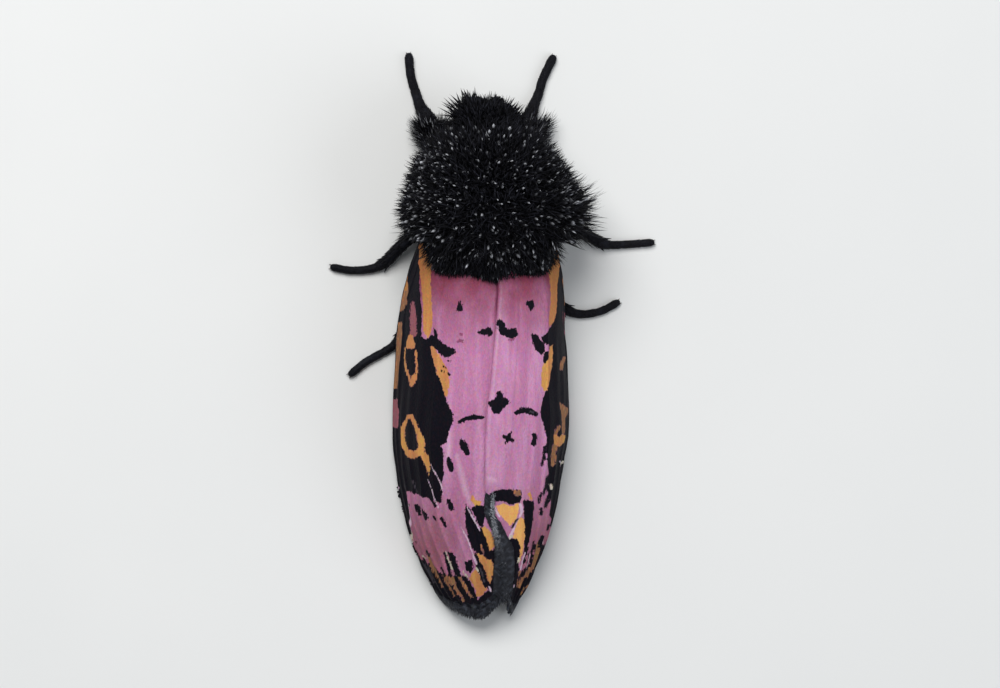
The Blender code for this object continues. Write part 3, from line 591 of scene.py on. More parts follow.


# Markings, as (form, field, outline, outline, ...), each group laid over those before it. A stroke is an open
# line and a loop a closed one, whose points carry a radius, and an area is a closed outline. LEFT_MARKS and
# RIGHT_MARKS were read off the photo, in its pixels. HIDDEN_MARKS lie on the right flank, which the photo
# doesn't show, as (back, distance down from the ridge) in millimetres.

LEFT_MARKS = (
    # Painted highlights: a soft light stripe behind the spots, and one beside the black half
    ("stroke", "bloom",
        ((457, 455, 1.6), (461, 472, 2.6), (465, 488, 2.6), (470, 503, 1.4)),
        ((448, 432, 1.2), (449, 446, 1.8), (448, 460, 1))),
    # Dark ground of the front part; outer half, from the cell to the front edge; streak before the cell
    ("area", "black",
        ((400, 235), (421, 235), (420, 345), (418, 395), (391, 395), (391, 345), (396, 290)),
        ((391, 386), (400, 387), (406, 383), (411, 388), (417, 384), (418, 345), (433, 346), (436, 362),
         (440, 376), (444, 392), (448, 402), (453, 413), (454, 421), (450, 428), (447, 442), (441, 445),
         (444, 452), (444, 474), (442, 484), (442, 500), (437, 501), (433, 499), (419, 494), (409, 491),
         (400, 494), (391, 470)),
        ((408, 235), (421, 235), (420, 284), (422, 312), (422, 346), (417, 347), (415, 320), (412, 300),
         (410, 275))),
    # Pink strip before the streak
    ("stroke", "mauve", ((413, 303, 1.6), (413, 313, 2.8), (413.4, 334, 3))),
    # Orange bit before the loop
    ("area", "orange",
        ((407, 341), (409.2, 334.4), (413.1, 335.7), (415.6, 344.6), (415, 348.5), (406.7, 348.5))),
    # Costal strip
    ("area", "tan",
        ((405, 262), (408, 260), (407.6, 272), (408.4, 290), (408.2, 304), (405, 309), (401, 312),
         (401, 300), (403.5, 282))),
    # Bright front of the costal strip
    ("area", "orange", ((405, 268), (407.8, 268), (407.6, 280), (408.2, 290), (404.6, 292), (404, 280))),
    # Costal strip, second length
    ("area", "tan",
        ((399.4, 323), (402.4, 322), (402.6, 335), (401.6, 352), (400, 366), (398.8, 380), (397, 389),
         (394.6, 387), (395, 370), (395.6, 355), (396.6, 338))),
    # Loop; loop's inner limb; foot of the loop
    ("stroke", "orange",
        ((405.4, 348, 0.8), (405.2, 357.4, 0.9), (406.2, 367, 1), (409.2, 376.5, 1.3), (412.2, 384.5, 1.4)),
        ((416.3, 350, 0.8), (416.3, 360.6, 0.9), (416.6, 370.2, 1), (415.4, 378, 1.4)),
        ((415, 375.5, 1.8), (413.4, 379, 2.8), (412.4, 384.5, 2))),
    # Cell streak
    ("area", "orange",
        ((420.5, 236), (431, 236), (432, 264), (431, 286), (432, 308), (433, 322), (431, 333), (427.6, 338),
         (424, 331), (423, 308), (422, 286), (419, 264))),
    # Patch at the cell's end
    ("area", "black", ((418, 333), (426, 339.5), (432, 335), (437, 337), (441, 350), (435, 350), (419, 348))),
    # Second streak
    ("area", "orange",
        ((430, 346), (434, 347), (440, 355), (444, 363), (449, 371), (450, 380), (449.5, 387), (447, 397),
         (445, 395), (442, 384), (438, 374), (434, 362), (431, 354))),
    # Ticks; dot
    ("stroke", "black",
        ((444, 366, 1), (446.5, 368, 1.1)),
        ((442, 370.5, 0.9), (444, 371.5, 0.9)),
        ((448, 373, 1), (450, 374.5, 1)),
        ((449, 361, 1.2), (449.5, 361, 1.2))),
    # Blotch beside the cell's end
    ("area", "black",
        ((434, 328), (437.6, 331), (439, 339), (447, 346), (455, 349), (455.5, 354), (447, 358), (440, 354),
         (435, 346), (433.6, 334))),
    # Dot; small arch
    ("stroke", "faint",
        ((460.5, 334.5, 1.3), (462, 334.5, 1.3)),
        ((457.5, 342.5, 1.2), (460.5, 340.8, 1.3), (463, 342, 1.2))),
    # Spot at the seam; spot near the fur
    ("area", "black",
        ((477.6, 332), (480.6, 329.2), (485, 328.8), (488, 326.6), (491.8, 328), (492.8, 331.6),
         (491.8, 335.4), (488.8, 337), (485.6, 334.4), (482, 335), (479, 334)),
        ((459.8, 300), (461.6, 303), (462.8, 307.6), (463.4, 311.2), (460, 311.8), (456.8, 311),
         (457.4, 306.6), (458.4, 303))),
    # Dash on the front edge
    ("area", "mauve", ((391, 399), (398.5, 399), (399, 412), (398.5, 427), (391, 427))),
    # Big ring
    ("loop", "orange",
        ((408, 417, 2.2), (403.6, 428, 2.6), (403.4, 441, 3.2), (407.4, 451.5, 3.6), (414, 454.5, 3.8),
         (421, 451.5, 3.4), (422.4, 443, 3), (419.6, 434, 2.4), (415.6, 424, 2.2), (412, 416, 2.2))),
    # Tail of the ring
    ("stroke", "orange", ((425, 456, 3.6), (428, 465, 2.8), (429, 474, 0.8))),
    # Veins
    ("stroke", "light",
        ((428, 479, 0.5), (433, 490, 0.6), (438.5, 507, 0.5)),
        ((431.5, 463, 0.4), (436, 472, 0.6), (441.5, 484, 0.6), (443.5, 494, 0.4))),
    # Veins
    ("stroke", "ash",
        ((413, 479, 0.5), (418, 493, 0.5)),
        ((404, 483, 0.5), (410.5, 505, 0.5))),
    # Front margin behind the black half
    ("area", "black",
        ((390, 470), (402, 486), (407, 492), (409.4, 501), (410.4, 510), (411, 520), (411.6, 533),
         (414, 547), (418, 557), (410, 560), (400, 530), (392, 495))),
    # Marks in the row; tails of the black half; spots; dash arch
    ("stroke", "black",
        ((417, 504.5, 1.6), (418.6, 508, 2), (420.2, 513.5, 1.6)),
        ((423.5, 509, 1.5), (425, 513, 2.1), (426.6, 518, 1.7)),
        ((433.6, 515.5, 1), (436, 519, 1.1)),
        ((441.6, 517, 1.5), (445.5, 524.5, 1.6)),
        ((448.3, 499, 1.8), (450, 503, 2.4), (452, 508.5, 1.7)),
        ((439, 496, 2), (440.5, 501, 1.2)),
        ((431, 496, 2.4), (436, 505, 1.4)),
        ((460.8, 438, 1.3), (462.5, 442.5, 3.2), (465.5, 447.5, 3.8), (467, 452, 2.6)),
        ((448.5, 458, 1.8), (450, 463, 3.2), (452, 469, 2.2)),
        ((460, 421, 2), (466, 418.3, 2), (474, 416.5, 2.7), (484, 417, 1.1))),
    # Bit before the tornus
    ("area", "orange", ((472, 494), (476, 499), (481, 501), (480, 506), (475, 505), (470, 498))),
    # Streak beside the fringe; patch beside the fringe
    ("area", "black",
        ((465.4, 503), (470, 508), (474.5, 518), (480, 530), (481.5, 541), (481, 549), (477, 552),
         (472, 547), (468, 536), (465.6, 523), (464.6, 511)),
        ((471, 507), (477, 504), (484, 505), (485, 515), (483, 527), (479, 525), (475, 516))),
    # Upper patch beside the fringe
    ("area", "orange",
        ((481, 527), (485, 526), (490, 531), (495, 539), (495, 546), (490, 550), (486, 543), (482, 536))),
    # Ground between the patches
    ("area", "black",
        ((477.5, 526), (481.6, 527), (485.2, 537), (489.6, 549.6), (495, 548), (497, 575), (498, 588),
         (491, 593), (488.2, 588), (484.6, 586.4), (481.2, 583), (479.6, 577.6), (478.4, 572), (475, 563),
         (474, 552), (478, 548))),
    # Lower patch beside the fringe
    ("area", "orange",
        ((476.6, 552.6), (482.7, 554), (486.5, 557.7), (491.3, 558.7), (493.4, 565.4), (493.2, 572),
         (491.3, 577.8), (488.9, 582.6), (487.2, 578.8), (485.6, 572), (483.2, 565.6), (478.9, 558.2))),
    # Thread in the dark ground
    ("stroke", "tan", ((480.6, 544, 0.7), (482, 548, 0.9), (483.8, 552, 0.7))),
    # Light in the dark ground
    ("stroke", "ash", ((478.6, 566, 0.8), (481.6, 572, 1.2), (484.2, 581, 0.9))),
    # White fleck beside the fringe; white fleck at the foot of the ground; line beside the streak; long
    # vein
    ("stroke", "light",
        ((495.4, 563, 0.9), (497, 567.4, 1)),
        ((489, 586, 0.8), (490.2, 589.5, 1), (492, 593, 0.8)),
        ((467, 506, 0.6), (472, 515, 0.9), (480, 530, 0.6)),
        ((461, 526, 0.4), (467, 537, 0.8), (471.6, 549, 0.7), (473, 553, 0.5))),
    # Vein before the orange patch
    ("stroke", "cream", ((463, 570.6, 0.7), (467, 576, 0.8))),
    # Dot near the edge
    ("stroke", "black", ((416, 541, 1), (416.5, 543, 1))),
    # Dark margin along the rear edge; dark ground between the streaks
    ("area", "black",
        ((417.5, 558), (424, 559), (431, 571), (437, 583), (444, 588), (453, 596), (466, 602), (476, 600),
         (487, 590), (494, 592), (496, 622), (440, 622), (417, 575)),
        ((429, 562), (436, 566), (441, 572.5), (447.8, 575.5), (456, 574.5), (462, 574), (467, 577),
         (471, 584), (479, 601), (467, 607), (452, 603), (446, 592), (439, 585), (432, 574))),
    # Bronze ground at its front
    ("area", "tan", ((443.5, 573), (450, 574), (454.6, 577), (455.4, 583), (452, 584), (447.4, 579.6))),
    # Orange stripe; bronze stripes
    ("stroke", "tan",
        ((429.6, 556.8, 1.5), (433, 566.4, 1.9), (437.7, 577, 1.8), (442.5, 585.5, 1.3)),
        ((443.8, 575, 1.4), (448, 583.6, 1.5), (451.6, 591, 1.3), (454, 595.5, 1)),
        ((454.4, 583, 1), (458.8, 592.2, 1.1), (464, 600.6, 0.9)),
        ((457.8, 573, 1), (463, 581.7, 1.3), (467.2, 589.3, 1.2), (471.6, 596.6, 1))),
    # Black stripe; dash; streak
    ("stroke", "black",
        ((438.4, 570.5, 0.9), (442.4, 578.8, 1.1), (447.3, 586.8, 1.2), (451.4, 594, 1.1)),
        ((441.5, 567.6, 1.1), (445.4, 575, 1.3)),
        ((444.5, 552.5, 1.2), (447.8, 562.8, 1.6), (451, 574.9, 1.2))),
    # Broad streak
    ("area", "black",
        ((447.5, 550.1), (452.5, 550.8), (456, 558), (458.5, 565.5), (461.2, 575.6), (456.5, 574.9),
         (451.9, 565.5))),
    # Pale line between them
    ("stroke", "cream", ((445.6, 550.5, 0.7), (448.6, 559, 0.8), (452.2, 568, 0.8))),
    # Brown streak; dark stripe before the orange patch; dark inner line of the costa
    ("stroke", "black",
        ((455, 577, 1.3), (459.7, 586.4, 1.6), (464.5, 594.4, 1.6), (467.4, 600, 1.3)),
        ((465.6, 577, 1.3), (469.3, 583.6, 1.7), (473.1, 590, 1.9), (475.4, 597, 1.5)),
        ((424.6, 559, 1.6), (428.8, 567, 1.9), (434.2, 575, 2), (438.7, 583.5, 2))),
    # Grey line in it
    ("stroke", "ash", ((424.4, 562.5, 0.8), (429.5, 572, 1), (434, 581.5, 1))),
    # Spot near the front edge; dots on the front edge
    ("stroke", "black",
        ((427.6, 550.6, 1.8), (429.4, 554.2, 2.1)),
        ((416.4, 541.2, 1.3), (416.6, 543, 1.3))),
    # Pale line beside the front margin
    ("stroke", "light", ((408.6, 498, 0.7), (410, 508, 1), (411.2, 522, 0.9), (411.8, 532, 1))),
    # Pale front edge
    ("stroke", "cream", ((411.8, 532, 0.9), (413, 540, 1.3), (415, 548, 1.8), (418.4, 555, 1.2))),
    # White blotch on the front margin
    ("stroke", "light", ((405.8, 517, 0.9), (405.6, 523, 1.5), (405.2, 529, 1.2))),
    # Pale fleck behind the spot
    ("stroke", "cream", ((423.5, 555.6, 1), (426, 557.5, 1))),
    # Maroon spot
    ("area", "black",
        ((465.2, 560.2), (469, 558.8), (472.6, 559.5), (473, 568.2), (469.3, 572.2), (465.4, 568.2))),
    # Pale line before the orange patch
    ("stroke", "light", ((473.4, 555, 1), (475, 559, 1.2), (476.4, 563, 0.8))),
    # Pale line behind it
    ("stroke", "cream", ((476.2, 566.6, 0.8), (479, 571.6, 1))),
    # Orange patch before the tip
    ("area", "orange",
        ((471.9, 571.5), (476, 568.2), (479.3, 573.6), (480.6, 578.9), (482.6, 584.3), (486.7, 586.9),
         (484, 592.3), (479.3, 596.3), (476, 594.3), (476, 588.3), (473.3, 583.6), (468.6, 576.9))),
    # Flecks on the front edge
    ("stroke", "light",
        ((393.2, 447, 0.8), (393.6, 452, 0.8)),
        ((398.5, 483, 0.9), (400, 488, 0.9))),
)
RIGHT_MARKS = (
    # Outer half; streak before the cell
    ("area", "black",
        ((553, 327), (548, 345), (550, 360), (549, 375), (545, 391), (541, 404), (539, 412), (543, 424),
         (546, 436), (545, 447), (546, 462), (548, 474), (545, 486), (549, 497), (553, 505), (560, 500),
         (563, 480), (567, 440), (567, 400), (565, 350), (562, 325)),
        ((553, 235), (566, 240), (564, 262), (562.5, 300), (562, 328), (551, 329), (552, 300))),
    # Cell streak
    ("area", "orange",
        ((548, 236), (557.5, 236), (557, 284), (556.5, 306), (553.5, 322), (549, 327), (548, 320),
         (550, 300), (550, 284), (548, 272))),
    # Patch at the cell's end
    ("area", "black", ((541, 337), (546, 333), (549, 328), (556, 324), (556, 340), (552, 345), (543, 344))),
    # Second streak
    ("area", "orange",
        ((548.4, 347), (552.4, 345), (552.4, 352), (552, 360), (550.6, 370), (548.6, 380), (546.2, 390),
         (543.6, 391), (541.4, 386), (540.8, 376), (542, 366), (545.6, 358), (548.4, 353))),
    # Tick; spot near the fur
    ("area", "black",
        ((543.6, 352), (547.6, 351), (547.6, 356), (545.6, 361), (543.4, 365), (542.6, 360)),
        ((524.6, 302.6), (528, 301), (532.6, 299.7), (533.4, 304.9), (534.1, 307.4), (530.3, 312),
         (528.2, 307.9))),
    # Knob of the cluster
    ("stroke", "black", ((499, 323, 3.4), (501, 325, 3.6))),
    # Cluster
    ("area", "black",
        ((495.5, 328), (503, 327), (508, 329), (516, 328), (517, 335), (514, 339), (506, 337), (500, 334))),
    # Shade under the cluster
    ("stroke", "faint", ((508, 339.5, 1.1), (513, 339.5, 1.1))),
    # Blotch beside the cell's end
    ("area", "black",
        ((530, 334), (536, 334), (540, 340), (544, 344), (544, 352), (540, 355), (535, 350), (532, 342))),
    # Knob of the diamond
    ("stroke", "black", ((499, 393.5, 3.2), (499.5, 396, 3.4))),
    # Diamond
    ("area", "black",
        ((487, 402.7), (494, 397.6), (504.5, 397), (510, 401.4), (504.5, 406.7), (499, 413), (492.5, 412.5),
         (491, 408))),
    # Dash
    ("stroke", "black", ((516, 412.5, 2), (522, 409.3, 2.9), (529, 410.5, 3.2), (534.5, 413.5, 2.4))),
    # Pale heart of the dash
    ("stroke", "ash", ((530, 411.5, 1.1), (532.5, 412, 1.1))),
    # Crossed marks; bar; thin streaks; dots
    ("stroke", "black",
        ((503.5, 435.5, 1.8), (508, 438, 2.2), (512.5, 440.5, 1.6)),
        ((511, 431.5, 1.2), (507, 438, 2.2), (506, 441.5, 1.4)),
        ((534, 435, 2.5), (533, 443, 2.5)),
        ((544.5, 447, 1.3), (541.5, 464, 1.3)),
        ((546.5, 476, 1.4), (543.5, 493, 1.6)),
        ((540.5, 492, 1.2), (538, 502, 1.2)),
        ((550.5, 488, 1.4), (545, 506, 1.6)),
        ((541.5, 511, 1.1), (540.5, 513.5, 1.1)),
        ((547.5, 524, 1.2), (546.5, 528, 1.2))),
    # Bar before the tornus
    ("area", "black",
        ((493, 490), (500, 488), (520, 489), (521.5, 496), (519, 502), (511, 504), (502, 500), (494, 501))),
    # End of the bar
    ("area", "tan", ((512, 489), (520, 489), (521, 494), (515, 495))),
    # Bit behind the bar
    ("stroke", "orange", ((528.5, 493, 1.4), (530.5, 497.5, 1.6))),
    # Bright patch
    ("area", "orange",
        ((496, 505), (503, 503), (511, 505), (518, 502.5), (518, 512), (514, 521), (509, 525), (503, 517),
         (498, 512))),
    # Ground between the bright patches and the fringe
    ("area", "black",
        ((508, 538), (513.3, 537), (518.4, 539), (520.4, 545.3), (520.4, 553), (517.6, 558.7),
         (518.4, 570.2), (516.4, 586), (511, 590), (509, 560), (507, 545))),
    # Bright patch, second part
    ("area", "orange",
        ((518.8, 515.8), (523.9, 518.4), (525.2, 528.8), (523.7, 541.7), (521.9, 552), (519.6, 559.6),
         (517.6, 561), (519.6, 552), (519.3, 544.4), (517.4, 538.6), (512.7, 536.5), (514.5, 528.8))),
    # Pale end of that patch
    ("stroke", "cream", ((518.6, 557.6, 0.8), (517.6, 561.4, 0.9))),
    # Tan thread behind it
    ("stroke", "tan", ((518.8, 571, 0.8), (518.4, 579, 0.9), (517.4, 587, 0.8))),
    # Blue-white fleck beside the fringe; rim of the bright patch; streak beside the bright patch; line
    # through the bright patches
    ("stroke", "light",
        ((513.8, 584.6, 0.8), (512.8, 589.6, 1)),
        ((491.5, 501, 0.8), (495, 509, 1.4), (499.5, 516, 0.9)),
        ((519.5, 503, 1.2), (521.5, 510, 1.5), (519, 516, 0.9)),
        ((520, 514, 0.7), (514, 526, 0.8), (510, 535.5, 1.6), (507, 540, 0.9))),
    # Thread beside that line
    ("stroke", "black", ((516, 518, 0.6), (512, 526, 0.6))),
    # Band behind the bright patches; front margin
    ("area", "black",
        ((522.5, 499), (533, 500), (532, 520), (529.4, 533), (527.4, 543), (526, 553), (523.6, 565),
         (522.6, 563), (523.6, 549), (524.8, 532), (523.5, 515)),
        ((548.6, 497), (563, 490), (561, 515), (556, 530), (550, 545), (546, 545), (548.6, 532),
         (549.4, 514))),
    # Thin streak
    ("stroke", "black", ((527.5, 551, 0.8), (526, 568, 0.9))),
    # Dusky strip on the front edge
    ("stroke", "mauve", ((562.6, 312, 0.6), (562.9, 322, 0.9), (563.2, 332, 0.6))),
    # Tan bit at the edge
    ("area", "tan",
        ((562.4, 356.4), (565.2, 357), (563.6, 363.6), (561.4, 370.4), (559.2, 369.6), (560.2, 362))),
    # Dusky strip before the ring
    ("stroke", "mauve", ((566.2, 391, 0.5), (566.8, 398, 0.9), (567, 405, 0.5))),
    # Ring at the edge
    ("area", "tan",
        ((559, 401), (562, 404.5), (566.6, 408), (566.4, 414), (564.4, 420), (564, 430), (562.6, 435),
         (560.6, 433), (561, 421), (561.2, 412), (559.4, 407))),
    # Rear part of the ring
    ("area", "orange",
        ((553.3, 434.2), (555.8, 431.7), (557, 437.4), (560.9, 433.2), (564.3, 435.5), (562.8, 441.9),
         (559, 446.4), (556.2, 445.7), (553.9, 448))),
    # Inner limb of the ring; tail of the ring
    ("stroke", "tan",
        ((555, 433, 1.4), (558, 426, 1.2)),
        ((554.2, 446, 2), (553, 457, 1.8), (551.8, 465, 1.2))),
    # White flecks; pale tick
    ("stroke", "cream",
        ((559.8, 463.4, 1.2), (561.4, 462, 1.2)),
        ((549.6, 484, 0.8), (550.2, 488, 0.8))),
    # Streak near the band; streak behind it; maroon streak; short maroon streaks; dash near the edge; dark
    # front edge
    ("stroke", "black",
        ((543.7, 446.4, 1.1), (543, 454.6, 1.1), (541.2, 464.2, 1.2)),
        ((545.6, 477, 1), (544.3, 492.4, 1.2)),
        ((550.7, 490.4, 0.9), (548, 498, 0.9), (545.6, 506.5, 1)),
        ((540.3, 507.6, 1), (539.4, 513.6, 1)),
        ((547.2, 523.6, 0.9), (546.3, 529.6, 0.9)),
        ((556, 490, 2), (554, 507, 1.4), (552.6, 526, 1))),
    # Pale front edge
    ("stroke", "cream", ((552.6, 528, 1.2), (550.5, 536, 1.4), (547.6, 542.5, 1.2))),
    # Dark margin along the rear edge; dark ground between the stripes
    ("area", "black",
        ((546.5, 543.5), (549, 545), (555, 548), (545, 575), (525, 605), (512, 622), (508, 600), (512, 586),
         (518.5, 592), (524, 580), (531, 571), (538, 557)),
        ((514, 588), (519, 574), (524, 566), (529.6, 563), (532.4, 554), (533.6, 541.6), (536.4, 546),
         (539.4, 543), (544, 546), (541, 557), (531, 574), (520, 591), (513, 600))),
    # Tan stripe; bronze stripe
    ("stroke", "tan",
        ((537.8, 542.6, 1.5), (536, 553.6, 2), (532, 565, 2), (526.8, 572, 1.9), (521.6, 578, 1.3),
         (517.6, 586, 1)),
        ((527, 583, 0.9), (522.4, 588, 1), (519.6, 594, 0.8))),
    # Streak before the edge
    ("stroke", "black", ((542, 535, 1), (540.4, 540, 1.4), (538.4, 546.5, 1.2))),
    # Grey tick
    ("stroke", "ash", ((543.7, 540.4, 0.9), (542.9, 545, 0.9))),
    # Thin streak in the pink
    ("stroke", "black", ((533.4, 541, 0.8), (531.7, 550.3, 1), (530, 562, 1))),
    # Light line towards the tip; light line beside the maroon streak; white line at the front edge
    ("stroke", "light",
        ((524.4, 552, 0.7), (521.6, 560, 0.9), (519.8, 568, 0.8)),
        ((529.4, 553.6, 0.8), (527.4, 560.6, 0.8), (525.6, 567, 0.6)),
        ((544, 531.5, 0.6), (542.8, 537.6, 0.7), (541.8, 543, 0.6))),
    # Maroon streak
    ("stroke", "black", ((541, 536, 1.1), (538.6, 543, 1.2))),
    # White fleck beside the fringe
    ("stroke", "cream", ((509.3, 537.2, 1.2), (511.2, 535, 1.3))),
    # Dark thread through the bright patches
    ("stroke", "ash", ((517.9, 517.6, 0.7), (514.5, 522.5, 0.9), (511.9, 527, 0.7))),
    # Fleck at the front edge
    ("stroke", "light", ((559, 461, 0.8), (560, 466, 0.8))),
    # Painted highlight at the seam
    ("stroke", "bloom", ((489, 477, 1.6), (494, 479, 1.6))),
)
HIDDEN_MARKS = (
    ("area", "orange", ((-4.3, 3.3), (-4.3, 4.9), (-2.6, 4.2), (-2.6, 3.3))),
    ("area", "black",
        ((-4.4, 5.1), (-1.8, 4.9), (-0.55, 4.4), (2.5, 4.6), (5, 4.9), (7.4, 4.9), (8.3, 4.2), (8.8, 5.1),
         (9.6, 5.2), (10.6, 4.8), (11.6, 4.1), (12.6, 3.3), (12.8, 9), (-4.4, 9))),
    ("stroke", "tan", ((-3.3, 5.9, 0.12), (-2.7, 6.1, 0.34), (-2.1, 6.3, 0.36), (-1.5, 6.4, 0.16))),
    ("stroke", "mauve", ((-1.1, 6.9, 0.14), (-0.6, 6.5, 0.24), (-0.2, 6.2, 0.12))),
    ("stroke", "tan", ((0.1, 6.9, 0.14), (0.8, 6.75, 0.3), (1.6, 6.75, 0.36), (2.5, 6.95, 0.16))),
    ("area", "mauve",
        ((3, 8.8), (3.1, 7.6), (3.3, 6.9), (3.7, 6.5), (4.1, 6.6), (4.35, 7), (4.4, 7.6), (4.7, 8.8))),
    ("stroke", "mauve",
        ((6.4, 7.1, 0.1), (7.1, 6.9, 0.2), (7.9, 7, 0.1)),
        ((8.7, 6.3, 0.1), (9.4, 6, 0.22), (10.1, 5.6, 0.18), (10.7, 5.2, 0.08))),
    ("loop", "orange",
        ((4.05, 5.45, 0.11), (4.6, 6.05, 0.1), (5.4, 6.0, 0.11), (5.9, 5.45, 0.13), (6.05, 4.7, 0.12),
         (5.95, 4.2, 0.12), (5.45, 4.1, 0.12), (4.95, 4.3, 0.1), (4.35, 4.6, 0.08), (3.9, 4.95, 0.1))),
    ("area", "tan", ((1.9, 5.5), (1.8, 4.6), (2.25, 4.7), (2.6, 5.0), (2.25, 5.3))),
    ("stroke", "tan", ((0.8, 5.8, 0.04), (1.4, 5.7, 0.04), (2, 5.4, 0.06))),
)
WIDEST_LINE = 2.5  # the most that a line read off a steep flank is widened by


def read_off(side, spot):
    """A spot of the photo as (back, distance down from the ridge), with its radii in millimetres."""
    pixel_x, pixel_y, *radii = spot
    y = (pixel_y - ZERO_PIXEL_Y) * PIXEL
    x, z = section(y, ARC_ANGLES)
    x = np.where(x < 0, x + right_shift(-x, y), x)
    seen = x * math.cos(CAMERA_LEAN) - z * math.sin(CAMERA_LEAN)
    visible = slice(int(np.argmax(seen)), int(np.argmin(seen)) + 1)
    run = down_at(np.full(ARC_ANGLES.shape, y), ARC_ANGLES)[visible][::-1]
    target = (MIDLINE_PIXEL_X - pixel_x) * PIXEL
    down = side * np.interp(target, seen[visible][::-1], run)
    return (y, float(down), *(r * PIXEL for r in radii))


def foreshortening(side, x, y):
    """How many times wider a line at this pixel is on the wing than in the photo."""
    across = read_off(side, (x + 1, y))[1] - read_off(side, (x - 1, y))[1]
    return min(max(abs(across) / (2 * PIXEL), 1.0), WIDEST_LINE)


def forewing_marks(side):
    """The markings of one wing, as (form, field, points, widening)."""
    hidden, seen = ((), LEFT_MARKS) if side == LEFT else (HIDDEN_MARKS, RIGHT_MARKS)
    marks = [(form, name, points, 1.0) for form, name, *outlines in hidden for points in outlines]
    for form, name, *outlines in seen:
        for spots in outlines:
            points = [read_off(side, spot) for spot in spots]
            wide = 1.0 if form == "area" else foreshortening(side, *spots[len(spots) // 2][:2])
            marks.append((form, name, tuple((y, down / wide, *radii) for y, down, *radii in points), wide))
    return marks


FIELDS = ("bloom", "mauve", "faint", "orange", "tan", "black", "ash", "cream", "light", "fringe")
OUTSIDE = -1.0


def near_segment(start, end, y, down):
    """The share of a segment's length that lies nearest to each place, and the distance to it."""
    (y0, d0), (y1, d1) = start, end
    dy, dd = y1 - y0, d1 - d0
    share = np.clip(((y - y0) * dy + (down - d0) * dd) / max(dy * dy + dd * dd, 1e-6), 0, 1)
    return share, np.hypot(y - y0 - share * dy, down - d0 - share * dd)


def inside_stroke(points, y, down):
    """Distance inside a line with a radius at each of its (back, down, radius) points."""
    best = np.full(y.shape, OUTSIDE)
    for (*start, r0), (*end, r1) in zip(points, points[1:]):
        share, distance = near_segment(start, end, y, down)
        best = np.maximum(best, r0 + (r1 - r0) * share - distance)
    return best


def inside_area(points, y, down):
    """Distance inside a closed outline of (back, down) points."""
    within = np.zeros(y.shape, bool)
    nearest = np.full(y.shape, -OUTSIDE)
    for (y0, d0), (y1, d1) in zip(points, points[1:] + points[:1]):
        crosses = (d0 > down) != (d1 > down)
        with np.errstate(divide="ignore", invalid="ignore"):
            at = (y1 - y0) * (down - d0) / (d1 - d0) + y0
        within ^= crosses & (y < at)
        nearest = np.minimum(nearest, near_segment((y0, d0), (y1, d1), y, down)[1])
    return np.where(within, nearest, -nearest)


def inside_loop(points, y, down):
    return inside_stroke(points + points[:1], y, down)


SHAPES = {"stroke": inside_stroke, "area": inside_area, "loop": inside_loop}


def paint(fields, name, reach):
    """Lays one marking over the others: it cuts those that the material would lay over it."""
    fields[name] = np.maximum(fields[name], reach)
    for above in FIELDS[FIELDS.index(name) + 1 :]:
        fields[above] = np.minimum(fields[above], -reach)


# How far the right wing laps over the left one at each y
LAP = (
    (-6, -0.1), (-2.2, -0.1), (-0.3, 0.03), (1.9, 0.23), (3.7, 0.4), (5.2, 0.48), (7.7, 0.4), (8.4, 0.0),
    (15, 0.0),
)

# Where the fringes along the outer margins begin, as (back, distance from the seam)
FRINGE_REACH = {
    LEFT: (
        (7.0, -1), (7.4, -0.1), (7.8, 0.3), (8.7, 0.42), (9.3, 0.32), (9.9, 0.12), (10.7, 0.36), (11.7, 0.6),
        (12.9, 0.6), (14.2, 0.6),
    ),
    RIGHT: (
        (8.0, -1), (8.4, -0.15), (8.75, -0.05), (9.3, 0.3), (9.9, 0.45), (10.5, 0.66), (11.4, 0.55),
        (12.2, 0.45), (14.2, 0.45),
    ),
}
TIP_FRINGE = {
    LEFT: ((-1, 0.8), (0.5, 0.75), (1.5, 0.55), (3, 0.4)),
    RIGHT: ((1, 0.9), (1.5, 0.6), (2.5, 0.35)),
}
# Painted highlight along the ridge beside the seam, and painted shade in the seam itself, at each y
RIDGE_HIGHLIGHT = ((-3, 0.05), (-1, 0.22), (1, 0.3), (3, 0.26), (4, 0.16), (7, 0.14), (7.6, 0))
SEAM_SHADE = ((-3, 1), (-1.6, 0.95), (-0.9, 0.4), (0.6, 0.08), (2, 0.04), (4, 0.02), (7, 0.05), (7.8, 0))
# Width of the black margin along the lower edge
FRONT_MARGIN = (
    (-6, 0.1), (-1, 0.12), (2, 0.2), (3, 0.05), (4.4, 0.05), (5, 0.3), (9, 0.25), (10.2, 0.35), (12, 0.8),
    (14, 0.9),
)


